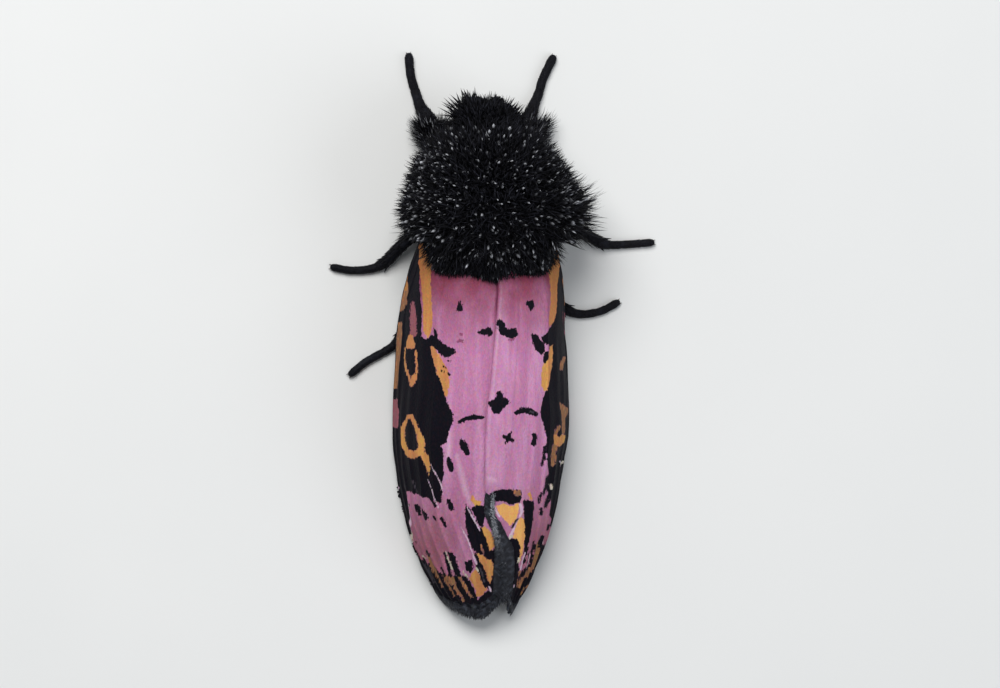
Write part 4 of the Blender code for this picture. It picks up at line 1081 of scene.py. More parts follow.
def forewing_fields(side, y, down, edge_down, end_gap):
    fields = {name: np.full(y.shape, OUTSIDE) for name in FIELDS}
    for form, name, points, wide in MARKS[side]:
        paint(fields, name, SHAPES[form](points, y, down / wide))
    inward = down - side * seam_x(y)
    paint(fields, "black", between(FRONT_MARGIN, y) - (edge_down - down))
    paint(fields, "fringe", between(FRINGE_REACH[side], y) - inward)
    paint(fields, "fringe", between(TIP_FRINGE[side], down) - end_gap)
    # Painted shade where the wing slopes away from the light: more towards the rear and further down the
    # flank
    fields["slope_shade"] = smoothstep(5.5, 11, y) * (0.35 + 0.65 * smoothstep(0.8, 3.2, down)) * 0.85
    # Towards the fur the pink deepens and the orange browns: partly the wing's own colour, partly painted
    # shade under the fur's edge
    fields["shade"] = 1 - smoothstep(-3.4, 1.4, y)
    # Painted light on the right wing's bright patches, between y 8 and 11.4
    fields["painted_light_patch"] = smoothstep(8.0, 8.4, y) * (1 - smoothstep(10.2, 11.4, y)) * (side == RIGHT)
    fields["sheen"] = 0.9 * (1 - smoothstep(8.9, 10.8, y))
    beside = inward + (between(LAP, y) - SEAM_GAP) * (1 if side == RIGHT else -1)
    # Painted highlight on the right wing's raised edge beside the seam, and painted shade in the seam
    strength = between(RIDGE_HIGHLIGHT, y) if side == RIGHT else 0
    fields["ridge"] = strength * np.exp(-(((beside - 0.17) / 0.07) ** 2))
    fields["painted_seam_shade"] = between(SEAM_SHADE, y) * np.exp(-((beside / 0.06) ** 2))
    return fields


# Wings

# Veins of a forewing, as (share across it, share along it where the vein begins)
FOREWING_VEINS = (
    (0.15, 0.0), (0.30, 0.52), (0.41, 0.0), (0.52, 0.56), (0.62, 0.56), (0.72, 0.5), (0.82, 0.0), (0.93, 0.0),
)
FORM_HEIGHT = 0.05  # of the veins and of the pleats between them
VEIN_WIDTH, PLEAT_STEP = 0.07, 0.105  # the first in millimetres, the second as a share across the wing
SEAM_GAP = 0.04
WING_SHEET = 0.12


def unit_grid(rows, columns):
    return np.meshgrid(np.linspace(0, 1, rows), np.linspace(0, 1, columns), indexing="ij")


def wing_sheet(kind, side, y, down, points, **fields):
    """Keeps one wing as a thick sheet. Its material follows the unrolled places."""
    name = f"{kind}_{SIDE_NAMES[side]}"
    flat = {key: values.ravel() for key, values in fields.items()}
    flat["unrolled"] = np.stack([down, y, 0 * y + 3 * side], -1).reshape(-1, 3)
    faces = grid_faces(*y.shape, flip=side == RIGHT)
    obj = mesh_object(f"{name}_scales", points.reshape(-1, 3), faces, MATERIALS[kind], **flat)
    solidify = obj.modifiers.new("thickness", "SOLIDIFY")
    solidify.thickness = WING_SHEET * MM
    solidify.offset = -1
    return kept(obj, f"{kind}_scales", name)


def forewing(side):
    """One curved membrane with raised veins and soft pleats. The right one laps over the left at the seam."""
    along, across = unit_grid(300, 130)
    along = 1 - (1 - along) ** 1.15
    end = forewing_end_y(side, across)
    y = FOREWING_FRONT_Y + (end - FOREWING_FRONT_Y) * along
    lap = between(LAP, y)
    start = side * seam_x(y) + (SEAM_GAP if side == LEFT else SEAM_GAP - lap)
    if side == LEFT:
        start = start - 0.3 * (1 - smoothstep(7.4, 8.4, y))
    edge_down = lower_edge_down(y)
    down = start + (edge_down - start) * across
    inward = down - start
    fields = forewing_fields(side, y, down, edge_down, end - y)
    height = 0.012 * np.sin(5.1 * down + 0.9 * y) + 0.015 * np.sin(1.7 * down - 2.3 * y + side)
    pleat = 0.5 + 0.5 * np.cos(2 * math.pi * across / PLEAT_STEP)
    height = height + FORM_HEIGHT * pleat * smoothstep(-2, 4, y) * smoothstep(0.3, 1, inward)
    for place, begins in FOREWING_VEINS:
        ridge = np.exp(-(((across - place) * (edge_down - start) / VEIN_WIDTH) ** 2))
        height = height + FORM_HEIGHT * ridge * (smoothstep(begins, begins + 0.08, along) if begins else 1)
    open_part = 1 - smoothstep(7.2, 8.6, y)
    if side == RIGHT:
        rim = 0.1 * (1 - smoothstep(0.3, 1.3, inward)) + 0.02 * np.exp(-(((inward - 0.16) / 0.1) ** 2))
        height = height + open_part * rim
        height = height - open_part * 0.04 * np.exp(-((inward / 0.05) ** 2))
    else:
        height = height - open_part * 0.08 * (1 - smoothstep(0.5, 1.2, inward))
    height = height - 0.07 * smoothstep(-0.05, 0.1, fields["fringe"])
    points = arch_place(side, y, down) + arch_normal(side, y, down) * height[..., None]
    points[..., 2] = np.maximum(points[..., 2], WING_SHEET)
    return wing_sheet("forewing", side, y, down, points, **fields)


def hindwing(side):
    along, across = unit_grid(90, 60)
    end = HINDWING_END_Y - 1.6 * across**2
    y = HINDWING_FRONT_Y + (end - HINDWING_FRONT_Y) * along
    inset = SOLID_WING + GAP
    bottom = down_at(y, np.arctan2((2.3 - 0.9 * along) / (arch_height(y) - inset), 1))
    down = 0.1 + (bottom - 0.1) * across
    height = 0.06 * np.abs(np.cos(math.pi * across / 0.12)) * smoothstep(0, 0.2, along) - 0.06
    points = arch_place(side, y, down, inset) + arch_normal(side, y, down) * height[..., None]
    return wing_sheet("hindwing", side, y, down, points)


# Blades: hair scales and fringe scales as closed three-sided slivers

PATCH = 0.003  # width of one blade's patch on the bake map
SHARES = (0.0, 0.36, 0.72, 1.0)
WIDTHS = (0.75, 1.0, 0.7)
BLADE_LIMIT = 12000  # blades in one piece
# How many blades are drawn for each coat, before those in the wrong place are left out
BLADES = {
    "thorax": 66000, "head": 17000, "glints": 9000, "shawl": 11000, "abdomen": 5200, "palp": 1500, "leg": 900,
    "thigh": 2300, "fringe": 900,
}


def blades(name, paths, normals, half_widths, material, root_map, depth=0.55, widths=WIDTHS, **fields):
    """One joined mesh of blades along paths of shape (blades, stations, 3), each ending in a point."""
    count, stations, _ = paths.shape
    headings = unit(np.diff(paths, axis=1))
    rings = []
    for k in range(stations - 1):
        across = unit(np.cross(headings[:, k], normals))
        over = np.cross(across, headings[:, k])
        reach = (half_widths * widths[k])[:, None]
        middle = paths[:, k]
        rings += [middle + across * reach, middle - across * reach, middle + over * reach * depth]
    points = np.stack(rings + [paths[:, -1]], 1)
    size = points.shape[1]
    faces = [(2, 1, 0)]
    for k in range(stations - 2):
        for i in range(3):
            a, b = 3 * k + i, 3 * k + (i + 1) % 3
            faces += [(a, b, b + 3), (a, b + 3, a + 3)]
    last = 3 * (stations - 2)
    faces += [(last + i, last + (i + 1) % 3, size - 1) for i in range(3)]
    faces = np.array(faces)
    every = (faces[None] + size * np.arange(count)[:, None, None]).reshape(-1, 3)
    shares = np.repeat(np.array(SHARES[:stations]), 3)[: size - 1]
    local = {key: np.repeat(values, size) for key, values in fields.items()}
    local["along"] = np.tile(np.append(shares, 1.0), count)
    obj = mesh_object(name, points.reshape(-1, 3), every, material, **local)
    corner = np.tile((0.0, 1.0, 0.5), stations - 1)
    inner = np.stack([np.append(corner, 0.5), np.append(shares, 1.0)], -1) * PATCH
    at = (root_map * (1 - PATCH))[:, None] + inner[None]
    layer = obj.data.uv_layers.new(name="OFBake")
    layer.uv.foreach_set("vector", at.reshape(-1, 2)[every.ravel()].astype(np.float32).ravel())
    return obj


def wing_reach(points, air):
    """1 on a shell that lies this far outside the folded wings, less inside it and more outside."""
    wide, high = arch_half_width(points[:, 1]) + air, arch_height(points[:, 1]) + air
    n = ARCH_SQUARENESS
    return (np.abs(points[:, 0]) / wide) ** n + (np.abs(points[:, 2]) / high) ** n


def clear_of_wings(points, air):
    """Points that lie in the folded wings or closer than this are moved out to just above them."""
    reach = wing_reach(points, air)
    inside = (reach < 1) & (points[:, 1] > FOREWING_FRONT_Y - air)
    push = np.where(inside, np.maximum(reach, 0.05) ** (-1 / ARCH_SQUARENESS), 1.0)
    return points * np.stack([push, np.ones_like(push), push], -1)


def grown(roots, normals, lies, lengths, rise_start, rise_end, wobble=0.25, sunk=0.1, floor=0.05, air=None):
    """Paths of blades that rise from their roots and bend over along the coat's lie."""
    first, last = np.asarray(rise_start), np.asarray(rise_end)
    start = unit(normals * first[..., 0:1] + lies * first[..., 1:2])
    end = unit(normals * last[..., 0:1] + lies * last[..., 1:2])
    stray = DRAW.normal(0, wobble, roots.shape)
    start, end = unit(start + stray * 0.6), unit(end + stray)
    place = roots - normals * sunk
    path = [place]
    for low, high in zip(SHARES, SHARES[1:]):
        share = (low + high) / 2
        place = place + unit(start * (1 - share) + end * share) * (lengths * (high - low))[:, None]
        if air is not None:
            place = clear_of_wings(place, air)
        place = place * (1, 1, 0) + np.maximum(place[:, 2:3], floor) * (0, 0, 1)
        path.append(place)
    return np.stack(path, 1)


def coat(name, slot, paths, normals, half_widths, root_map, material, pale=None, **more):
    """Splits the blades over as many pieces as the limit asks for."""
    count = len(paths)
    tone = DRAW.uniform(0, 1, count)
    half_widths = np.broadcast_to(half_widths, count)
    pale = np.zeros(count) if pale is None else pale
    order = DRAW.permutation(count)
    parts = math.ceil(count / BLADE_LIMIT)
    for part in range(parts):
        of = order[part::parts]
        title = name if parts == 1 else f"{name}_{part + 1}"
        rows = (paths[of], normals[of], half_widths[of], material, root_map[of])
        kept(blades(title, *rows, tone=tone[of], pale=pale[of], **more), slot)


def sphere_map(units):
    """The skin's own unwrap: round it and from pole to pole."""
    turn = np.arctan2(units[:, 0], -units[:, 1]) / (2 * math.pi) + 0.5
    return np.stack([turn, np.arccos(np.clip(units[:, 2], -1, 1)) / math.pi], -1)


def ellipsoid_roots(count, middle, radii):
    units = unit(DRAW.normal(0, 1, (count, 3)))
    return middle + units * radii, unit(units / radii), units


def tangent(lies, normals):
    return unit(lies - normals * np.sum(lies * normals, -1, keepdims=True))


def pair(first, second, share):
    """Blends two (normal, lie) headings for each blade."""
    return np.array(first) + (np.array(second) - np.array(first)) * share[:, None]


THORAX_CROWN, HEAD_CROWN = np.array((0, -7.7, 7.6)), np.array((0, -9.3, 4.9))


def above_wings(points, air):
    return (points[:, 1] < FOREWING_FRONT_Y - air) | (wing_reach(points, air) > 1)


# How far back the coat's ends reach over the wings, at each distance from the middle
COAT_END = ((0, -2.4), (2.9, -2.9), (3.25, -4.2), (3.4, -4.6), (4.2, -4.6), (4.6, -4.2), (8, -4.2))


def ends_ahead(paths):
    """Which blades end ahead of the coat's edge over the wings."""
    return paths[:, -1, 1] < between(COAT_END, np.abs(paths[:, -1, 0]))


def strewn(lies, normals, share):
    """The lie of each blade, turned by chance within the skin's plane."""
    chance = tangent(unit(DRAW.normal(0, 1, lies.shape)), normals)
    return unit(lies * (1 - share) + chance * share)


def hair_lengths(count, under, guard, guards=0.22):
    """Lengths of a dense under coat with longer guard hairs spread through it."""
    long = DRAW.uniform(0, 1, count) < guards
    lengths = under * DRAW.uniform(0.7, 1.15, count)
    return np.where(long, guard * DRAW.uniform(0.7, 1.1, count), lengths), long


# How long the coat stands at the sides, from front to rear
SIDE_LENGTH = {
    LEFT: ((-9.6, 0.8), (-8.8, 0.8), (-8.0, 0.8), (-7.2, 0.78), (-6.6, 0.85), (-5.9, 0.95), (-5.0, 1.0)),
    RIGHT: ((-9.6, 0.75), (-8.8, 0.72), (-8.0, 0.8), (-7.2, 0.98), (-6.6, 1.25), (-5.9, 1.45), (-5.0, 1.2)),
}


def side_length(places):
    left, right = (between(SIDE_LENGTH[side], places[:, 1]) for side in SIDE_NAMES)
    return np.where(places[:, 0] > 0, left, right)


def thorax_part(roots, lowest, front, rear):
    """Which roots on the thorax carry hair."""
    inside = (roots[:, 1] > front) & (roots[:, 1] < rear)
    return (roots[:, 2] > lowest) & above_wings(roots, 0.1) & inside


def thorax_form(roots):
    """How far to the rear of the top each root is, and how many times longer the coat stands at its side."""
    rear = smoothstep(-7.0, -5.6, roots[:, 1]) * smoothstep(3.5, 5.0, roots[:, 2])
    aside = smoothstep(1.2, 2.8, np.abs(roots[:, 0]))
    return rear, 1 + aside * (side_length(roots) - 1)


def thorax_coat():
    roots, normals, units = ellipsoid_roots(BLADES["thorax"], THORAX_MIDDLE, THORAX_RADII)
    use = thorax_part(roots, 1.6, -9.5, -4.2)
    roots, normals, units = roots[use], normals[use], units[use]
    lies = strewn(tangent(roots - THORAX_CROWN, normals), normals, 0.7)
    rear, longer = thorax_form(roots)
    low = 1 - smoothstep(1.8, 3.0, roots[:, 2])
    under = (1.2 + 0.3 * rear - 0.25 * low) * longer
    lengths, long = hair_lengths(len(roots), under, under * 1.45 + 0.12)
    rise_end = pair((0.8, 0.6), (0.3, 0.95), rear)
    rise_start = pair((0.95, 0.3), (0.8, 0.6), rear)
    paths = grown(roots, normals, lies, lengths, rise_start, rise_end, 0.28, air=0.12)
    paths[..., 2] = np.minimum(paths[..., 2], COAT_TOP)
    widths = np.where(long, 0.034, 0.03)
    use = ends_ahead(paths)
    rows = (paths[use], normals[use], widths[use], sphere_map(units)[use])
    coat("thorax_coat", "coat", *rows, MATERIALS["coat"])


def head_coat():
    roots, normals, units = ellipsoid_roots(BLADES["head"], HEAD_MIDDLE, HEAD_RADII)
    eye_side = np.abs(roots * (1, 0, 0)) + roots * (0, 1, 1)
    clear = np.linalg.norm(eye_side - EYE_MIDDLE, axis=1) > EYE_RADIUS + 0.06
    use = clear & (roots[:, 1] < -9.0) & (roots[:, 2] > 1.75)
    roots, normals, units = roots[use], normals[use], units[use]
    lies = strewn(tangent(roots - HEAD_CROWN, normals), normals, 0.6)
    face = 1 - smoothstep(2.4, 3.6, roots[:, 2])
    ahead = 1 - smoothstep(-11.2, -10.2, roots[:, 1])
    brow = ahead * smoothstep(3.0, 3.8, roots[:, 2])
    corner = brow * smoothstep(0.3, 0.8, roots[:, 0])
    under = 0.95 - 0.4 * np.maximum(face, ahead) + 0.12 * brow + 0.45 * corner
    lengths, _ = hair_lengths(len(roots), under, under * 1.35 + 0.15)
    rise_end = pair((0.85, 0.5), (0.45, 0.9), face)
    rise_start = pair((0.95, 0.3), (0.9, 0.4), face)
    paths = grown(roots, normals, lies, lengths, rise_start, rise_end, 0.25)
    half_widths = 0.028 - 0.008 * face + 0.01 * brow + 0.03 * corner
    coat("head_coat", "coat", paths, normals, half_widths, sphere_map(units), MATERIALS["coat"])


GLINT_WIDTHS = (0.35, 0.5, 1.6)


def glints():
    """Pale blade-shaped scales that stand out of the coat here and there: partly pale tips, partly painted
    glints.
    """
    roots, normals, units = ellipsoid_roots(BLADES["glints"], THORAX_MIDDLE, THORAX_RADII)
    use = thorax_part(roots, 2.2, -9.4, -4.3)
    outer = np.maximum(smoothstep(-6.5, -5.0, roots[:, 1]), smoothstep(1.6, 2.8, np.abs(roots[:, 0])))
    use &= DRAW.uniform(0, 1, len(roots)) < (0.3 + 0.7 * outer) * 0.75
    roots, normals, units = roots[use], normals[use], units[use]
    lies = strewn(tangent(roots - THORAX_CROWN, normals), normals, 0.6)
    rear, longer = thorax_form(roots)
    under = (1.35 + 0.3 * rear) * longer
    lengths = under * DRAW.uniform(0.85, 1.15, len(roots))
    rises = pair((0.9, 0.45), (0.55, 0.85), rear)
    paths = grown(roots, normals, lies, lengths, rises, rises, 0.25, air=0.12)
    paths[:, 2] = paths[:, 2] * 0.28 + paths[:, 3] * 0.72
    # Widths, and how pale each end is: partly pale scale tips, partly painted glints
    widths, pale = DRAW.uniform(0.03, 0.06, len(roots)), DRAW.uniform(0, 1, len(roots)) ** 2
    use = ends_ahead(paths)
    rows = (paths[use], normals[use], widths[use], sphere_map(units)[use])
    coat("pale_and_glinting_scales", "coat", *rows, MATERIALS["coat"], pale[use], depth=0.3, widths=GLINT_WIDTHS)


# How far back the hair of the wing bases reaches, at each distance down from the ridge
SHAWL_REACH = (
    (0, -2.6), (0.4, -2.75), (1.2, -3.0), (2.2, -2.95), (3.1, -3.1), (3.35, -3.5), (3.55, -4.5), (7.5, -5.2),
)


def shawl():
    """Hair that springs from the wing bases and lies back over them, down to a scalloped edge."""
    count = BLADES["shawl"]
    side = DRAW.choice((LEFT, RIGHT), count)
    y, down = DRAW.uniform(-6.2, -2.9, count), DRAW.uniform(-0.1, 7.0, count)
    use = y < between(SHAWL_REACH, down) - 0.25
    side, y, down = side[use], y[use], down[use]
    roots = arch_place(side, y, down)
    normals = arch_normal(side, y, down)
    lies = tangent(np.stack([side * down * 0.05, 0 * y + 1, 0 * y], -1), normals)
    lies = unit(lies + np.cross(normals, lies) * DRAW.uniform(-0.3, 0.3, (len(y), 1)))
    reach = between(SHAWL_REACH, down) - y
    lengths = np.clip(reach, 0.4, 1.3) * DRAW.uniform(0.8, 1.15, len(y))
    front = smoothstep(0.4, 1.6, reach)
    rise_start, rise_end = pair((0.6, 0.8), (0.9, 0.5), front), pair((0.2, 1.0), (0.55, 0.85), front)
    paths = grown(roots, normals, lies, lengths, rise_start, rise_end, 0.2, air=0.03)
    root_map = np.stack([(side * down + 9) / 18, (y + 7) / 4], -1)
    # A few blades with pale ends: partly pale scale tips, partly painted glints
    pale = (DRAW.uniform(0, 1, len(y)) < 0.03) * DRAW.uniform(0.1, 0.7, len(y))
    coat("shawl", "coat", paths, normals, 0.03, root_map, MATERIALS["coat"], pale)


# Tubes: legs, feelers, palps


def smooth_path(points, steps):
    """Points along a Catmull-Rom curve through the given rows of numbers."""
    points = np.asarray(points, float)
    ends = np.vstack([points[:1], points, points[-1:]])
    t = (np.arange(steps) / steps)[:, None]
    path = []
    for a, b, c, d in zip(ends, ends[1:], ends[2:], ends[3:]):
        square, cube = 2 * a - 5 * b + 4 * c - d, 3 * b - a - 3 * c + d
        path.append(0.5 * (2 * b + (c - a) * t + square * t**2 + cube * t**3))
    return np.vstack([*path, points[-1:]])


def frames(path):
    """Heading, side and upper directions along a path, without twist."""
    headings = unit(np.gradient(path, axis=0))
    side = unit(np.cross(headings[0], (0.01, 0.02, 1.0)))
    sides = []
    for heading in headings:
        side = unit(side - heading * np.dot(side, heading))
        sides.append(side)
    sides = np.array(sides)
    return headings, sides, np.cross(sides, headings)


def tube(path, radii, sides=20, floor=0.0):
    """Points and triangles of a closed tube with rounded ends."""
    round_in = np.array((0.25, 0.6, 0.88))
    depth = np.sqrt(1 - round_in**2)
    headings, _, _ = frames(path)
    first = path[0] - headings[0] * (depth * radii[0])[:, None]
    last = path[-1] + headings[-1] * (depth * radii[-1])[::-1, None]
    path = np.vstack([first, path, last])
    radii = np.concatenate([round_in * radii[0], radii, round_in[::-1] * radii[-1]])
    _, side, upper = frames(path)
    angle = ring_angles(sides)
    ring = side[:, None] * np.cos(angle)[None, :, None] + upper[:, None] * np.sin(angle)[None, :, None]
    points = (path[:, None] + ring * radii[:, None, None]).reshape(-1, 3)
    points = np.vstack([points, path[:1], path[-1:]])
    points[:, 2] = np.maximum(points[:, 2], floor)
    return points, closed_faces(len(path), sides)


def joined(shapes):
    points, faces, first = [], [], 0
    for p, f in shapes:
        points.append(p)
        faces.append(f + first)
        first += len(p)
    return np.vstack(points), np.vstack(faces)


# Body skin and abdomen


def ellipsoid_shape(middle, radii, rows=48, sides=72):
    turn = np.linspace(0, math.pi, rows + 2)[1:-1]
    angle = ring_angles(sides)
    rim = np.sin(turn)[:, None]
    ring = np.stack([rim * np.cos(angle), rim * np.sin(angle), np.cos(turn)[:, None] + 0 * angle], -1)
    points = np.vstack([ring.reshape(-1, 3), [(0, 0, 1), (0, 0, -1)]]) * radii + middle
    return points, closed_faces(rows, sides, flip=True)


ABDOMEN_SEGMENTS = 8
ABDOMEN_HALF_WIDTH, ABDOMEN_HALF_HEIGHT = 2.1, 1.68


def abdomen_ring(share):
    """Middle height and fullness of the abdomen, from its waist to its end."""
    fullness = (1 - share**2.4) ** 0.6 * (0.84 + 0.16 * smoothstep(0, 0.25, share))
    joint = np.abs(np.cos(math.pi * share * ABDOMEN_SEGMENTS)) ** 6
    height = 2.4 + 0.55 * (1 - smoothstep(0, 0.3, share)) - 0.75 * share**2
    return height, np.maximum(fullness, 0.17) * (1 - 0.05 * joint)


def abdomen_points(share, angle):
    height, fullness = abdomen_ring(share)
    y = WAIST_Y + GAP / 2 + (ABDOMEN_END_Y - WAIST_Y - GAP / 2) * share
    x = ABDOMEN_HALF_WIDTH * fullness * np.cos(angle)
    return np.stack([x, y, height + ABDOMEN_HALF_HEIGHT * fullness * np.sin(angle)], -1)


def abdomen_shape(rows=160, sides=64):
    share, angle = np.meshgrid(np.linspace(0, 1, rows), ring_angles(sides), indexing="ij")
    points = abdomen_points(share, angle).reshape(-1, 3)
    ends = [points[:sides].mean(0), points[-sides:].mean(0)]
    return np.vstack([points, ends]), closed_faces(rows, sides, flip=True)


def body_skin():
    shapes = [
        ellipsoid_shape(THORAX_MIDDLE, THORAX_RADII * 0.98),
        ellipsoid_shape(HEAD_MIDDLE, HEAD_RADII * 0.98),
        ellipsoid_shape((0, -4.2, 3.0), (1.7, 1.2, 1.4)),
        abdomen_shape(),
    ]
    points, faces = joined(shapes)
    obj = mesh_object("body_skin", points, faces, MATERIALS["skin"])
    remesh = obj.modifiers.new("one_skin", "REMESH")
    remesh.mode = "VOXEL"
    remesh.voxel_size = 0.11 * MM
    remesh.use_smooth_shade = True
    return kept(obj, "abdomen_skin", "thorax", "head", "abdomen")


def abdomen_coat():
    count = BLADES["abdomen"]
    share, angle = DRAW.uniform(0.02, 0.97, count), DRAW.uniform(0, 2 * math.pi, count)
    roots = abdomen_points(share, angle)
    outward = [np.cos(angle) / ABDOMEN_HALF_WIDTH, 0 * angle, np.sin(angle) / ABDOMEN_HALF_HEIGHT]
    normals = unit(np.stack(outward, -1))
    lies = tangent(np.array((0.0, 1.0, 0.0)), normals)
    lengths = (0.55 + 0.45 * share) * DRAW.uniform(0.7, 1.15, count)
    paths = grown(roots, normals, lies, lengths, (0.5, 0.9), (0.12, 1.0), 0.14)
    root_map = np.stack([share, angle / (2 * math.pi)], -1)
    coat("abdomen_coat", "abdomen_skin", paths, normals, 0.035, root_map, MATERIALS["abdomen_coat"])


def eye(side):
    name = f"eye_{SIDE_NAMES[side]}"
    shape = ellipsoid_shape(EYE_MIDDLE * (side, 1, 1), np.full(3, EYE_RADIUS), 40, 64)
    kept(mesh_object(f"{name}_facets", *shape, MATERIALS["eye"]), "eye", name)


# Legs, feelers and palps

# Waypoints of the legs, a feeler and a palp, as (x, y, z, radius)
LEGS = {
    "leg_fore_left": (
        (0.9, -8.0, 1.7, 0.42), (1.2, -8.25, 0.78, 0.42), (1.9, -8.9, 0.75, 0.4), (2.35, -9.8, 0.85, 0.38),
        (2.55, -10.7, 0.7, 0.36), (2.93, -11.3, 0.38, 0.28), (3.23, -12.2, 0.2, 0.22),
        (3.47, -13.05, 0.18, 0.21), (3.56, -13.98, 0.18, 0.205),
    ),
    "leg_fore_right": (
        (-0.9, -8.0, 1.7, 0.42), (-1.2, -8.25, 0.78, 0.42), (-1.8, -8.9, 0.75, 0.4),
        (-2.2, -9.8, 0.85, 0.38), (-2.4, -10.7, 0.7, 0.36), (-2.6, -11.3, 0.38, 0.28),
        (-2.95, -12.1, 0.2, 0.22), (-3.2, -12.9, 0.18, 0.21), (-3.68, -13.9, 0.18, 0.205),
    ),
    "leg_mid_left": (
        (0.95, -6.2, 1.6, 0.42), (1.35, -6.05, 0.72, 0.42), (2.4, -5.6, 0.75, 0.38), (3.5, -5.0, 0.85, 0.3),
        (4.15, -4.4, 0.7, 0.26), (4.75, -3.75, 0.34, 0.26), (5.4, -3.4, 0.19, 0.2),
        (6.45, -3.3, 0.16, 0.185), (7.35, -3.45, 0.16, 0.18),
    ),
    "leg_mid_right": (
        (-0.95, -6.4, 1.6, 0.42), (-1.35, -6.3, 0.72, 0.42), (-2.6, -6.1, 0.75, 0.38),
        (-4.0, -5.75, 0.9, 0.3), (-5.2, -5.15, 0.7, 0.24), (-6.1, -4.7, 0.34, 0.26),
        (-6.6, -4.58, 0.2, 0.2), (-7.6, -4.62, 0.16, 0.185), (-8.65, -4.7, 0.16, 0.18),
    ),
    "leg_hind_left": (
        (0.8, -5.0, 1.7, 0.4), (1.1, -4.7, 0.7, 0.4), (1.9, -3.4, 0.6, 0.36), (2.8, -2.0, 0.6, 0.3),
        (3.5, -0.9, 0.45, 0.25), (3.95, -0.1, 0.3, 0.24), (4.3, 0.4, 0.2, 0.2), (4.75, 0.72, 0.17, 0.185),
        (5.7, 1.25, 0.16, 0.185), (6.45, 1.85, 0.16, 0.18),
    ),
    "leg_hind_right": (
        (-0.8, -5.0, 1.7, 0.4), (-1.1, -4.7, 0.7, 0.4), (-1.9, -3.7, 0.6, 0.36), (-2.8, -2.75, 0.6, 0.3),
        (-3.6, -1.95, 0.45, 0.25), (-4.25, -1.4, 0.3, 0.25), (-5.05, -1.12, 0.18, 0.2),
        (-6.05, -1.25, 0.16, 0.185), (-6.92, -1.68, 0.16, 0.18),
    ),
}
ANTENNA = (
    (0.85, -9.8, 4.0, 0.3), (1.3, -9.75, 4.4, 0.3), (2.05, -9.45, 4.2, 0.28), (2.75, -9.0, 3.5, 0.27),
    (3.3, -8.4, 2.8, 0.26), (3.55, -7.4, 2.3, 0.26), (3.4, -6.0, 2.0, 0.26), (3.15, -4.5, 1.8, 0.25),
    (2.95, -3.0, 1.65, 0.25), (2.85, -1.5, 1.5, 0.24), (2.8, -0.2, 1.35, 0.2),
)
PALP = (
    (0.5, -10.6, 2.3, 0.28), (0.5, -11.1, 2.0, 0.33), (0.5, -11.5, 2.4, 0.32), (0.5, -11.6, 3.1, 0.2),
)
FOOT_JOINTS = 5
SHIN_END = 5  # the waypoint where the shin ends and the foot begins
LEG_STEPS = 16  # from one waypoint to the next
# Spurs of mid and hind legs, and those of hind legs alone, as (steps before the shin's end, length, turn)
SPURS, HIND_SPURS = ((0, 0.45, 0.5), (0, 0.35, -0.5)), ((22, 0.4, 0.5), (22, 0.3, -0.5))


def arc_shares(path):
    run = np.concatenate([[0], np.cumsum(np.linalg.norm(np.diff(path, axis=0), axis=1))])
    return run / run[-1]


def leg_path(name):
    """Places and radii along a leg, the foot drawn in at its joints."""
    rows = smooth_path(LEGS[name], LEG_STEPS)
    path, radii = rows[:, :3], rows[:, 3].copy()
    share = arc_shares(path)
    foot = share[SHIN_END * LEG_STEPS]
    along = np.clip((share - foot) / (1 - foot), 0, 1)
    joint = np.abs(np.cos(math.pi * along * FOOT_JOINTS)) ** 8 * (along > 0)
    radii *= 1.08 - 0.09 * joint
    return path, radii, foot


def tube_roots(path, radii, count, span, lowest, front=-math.inf):
    """Chance places on a tube, above a height and behind a y, with their outward and forward directions."""
    share, angle = DRAW.uniform(*span, count), DRAW.uniform(0, 2 * math.pi, count)
    shares = arc_shares(path)
    heading, sides, uppers = frames(path)

    def at(values):
        return np.stack([np.interp(share, shares, values[:, i]) for i in range(3)], -1)

    normals = unit(at(sides) * np.cos(angle)[:, None] + at(uppers) * np.sin(angle)[:, None])
    roots = at(path) + normals * np.interp(share, shares, radii)[:, None]
    use = (roots[:, 2] > lowest) & (roots[:, 1] > front)
    return [values[use] for values in (share, angle, roots, normals, unit(at(heading)))]


def tube_coat(path, radii, count, span, length, rise, width, wobble=0.12, floor=0.03):
    """Paths of scales that point along a tube towards its end."""
    share, angle, roots, normals, headings = tube_roots(path, radii, count, span, floor + 0.02)
    lies = tangent(headings, normals)
    lengths = length * DRAW.uniform(0.7, 1.2, len(roots))
    rise = np.array(rise)
    paths = grown(roots, normals, lies, lengths, rise + (0.25, 0), rise, wobble, sunk=0.03, floor=floor)
    root_map = np.stack([share, angle / (2 * math.pi)], -1)
    return paths, normals, np.full(len(roots), width), root_map


def spike(base, heading, length, radius, bend=(0, 0, 0)):
    share = np.linspace(0, 1, 7)[:, None]
    path = base + heading * length * share + np.array(bend) * share**2
    path[:, 2] = np.maximum(path[:, 2], 0.06)
    return tube(path, radius * (1 - 0.8 * share[:, 0] ** 1.5), 10)


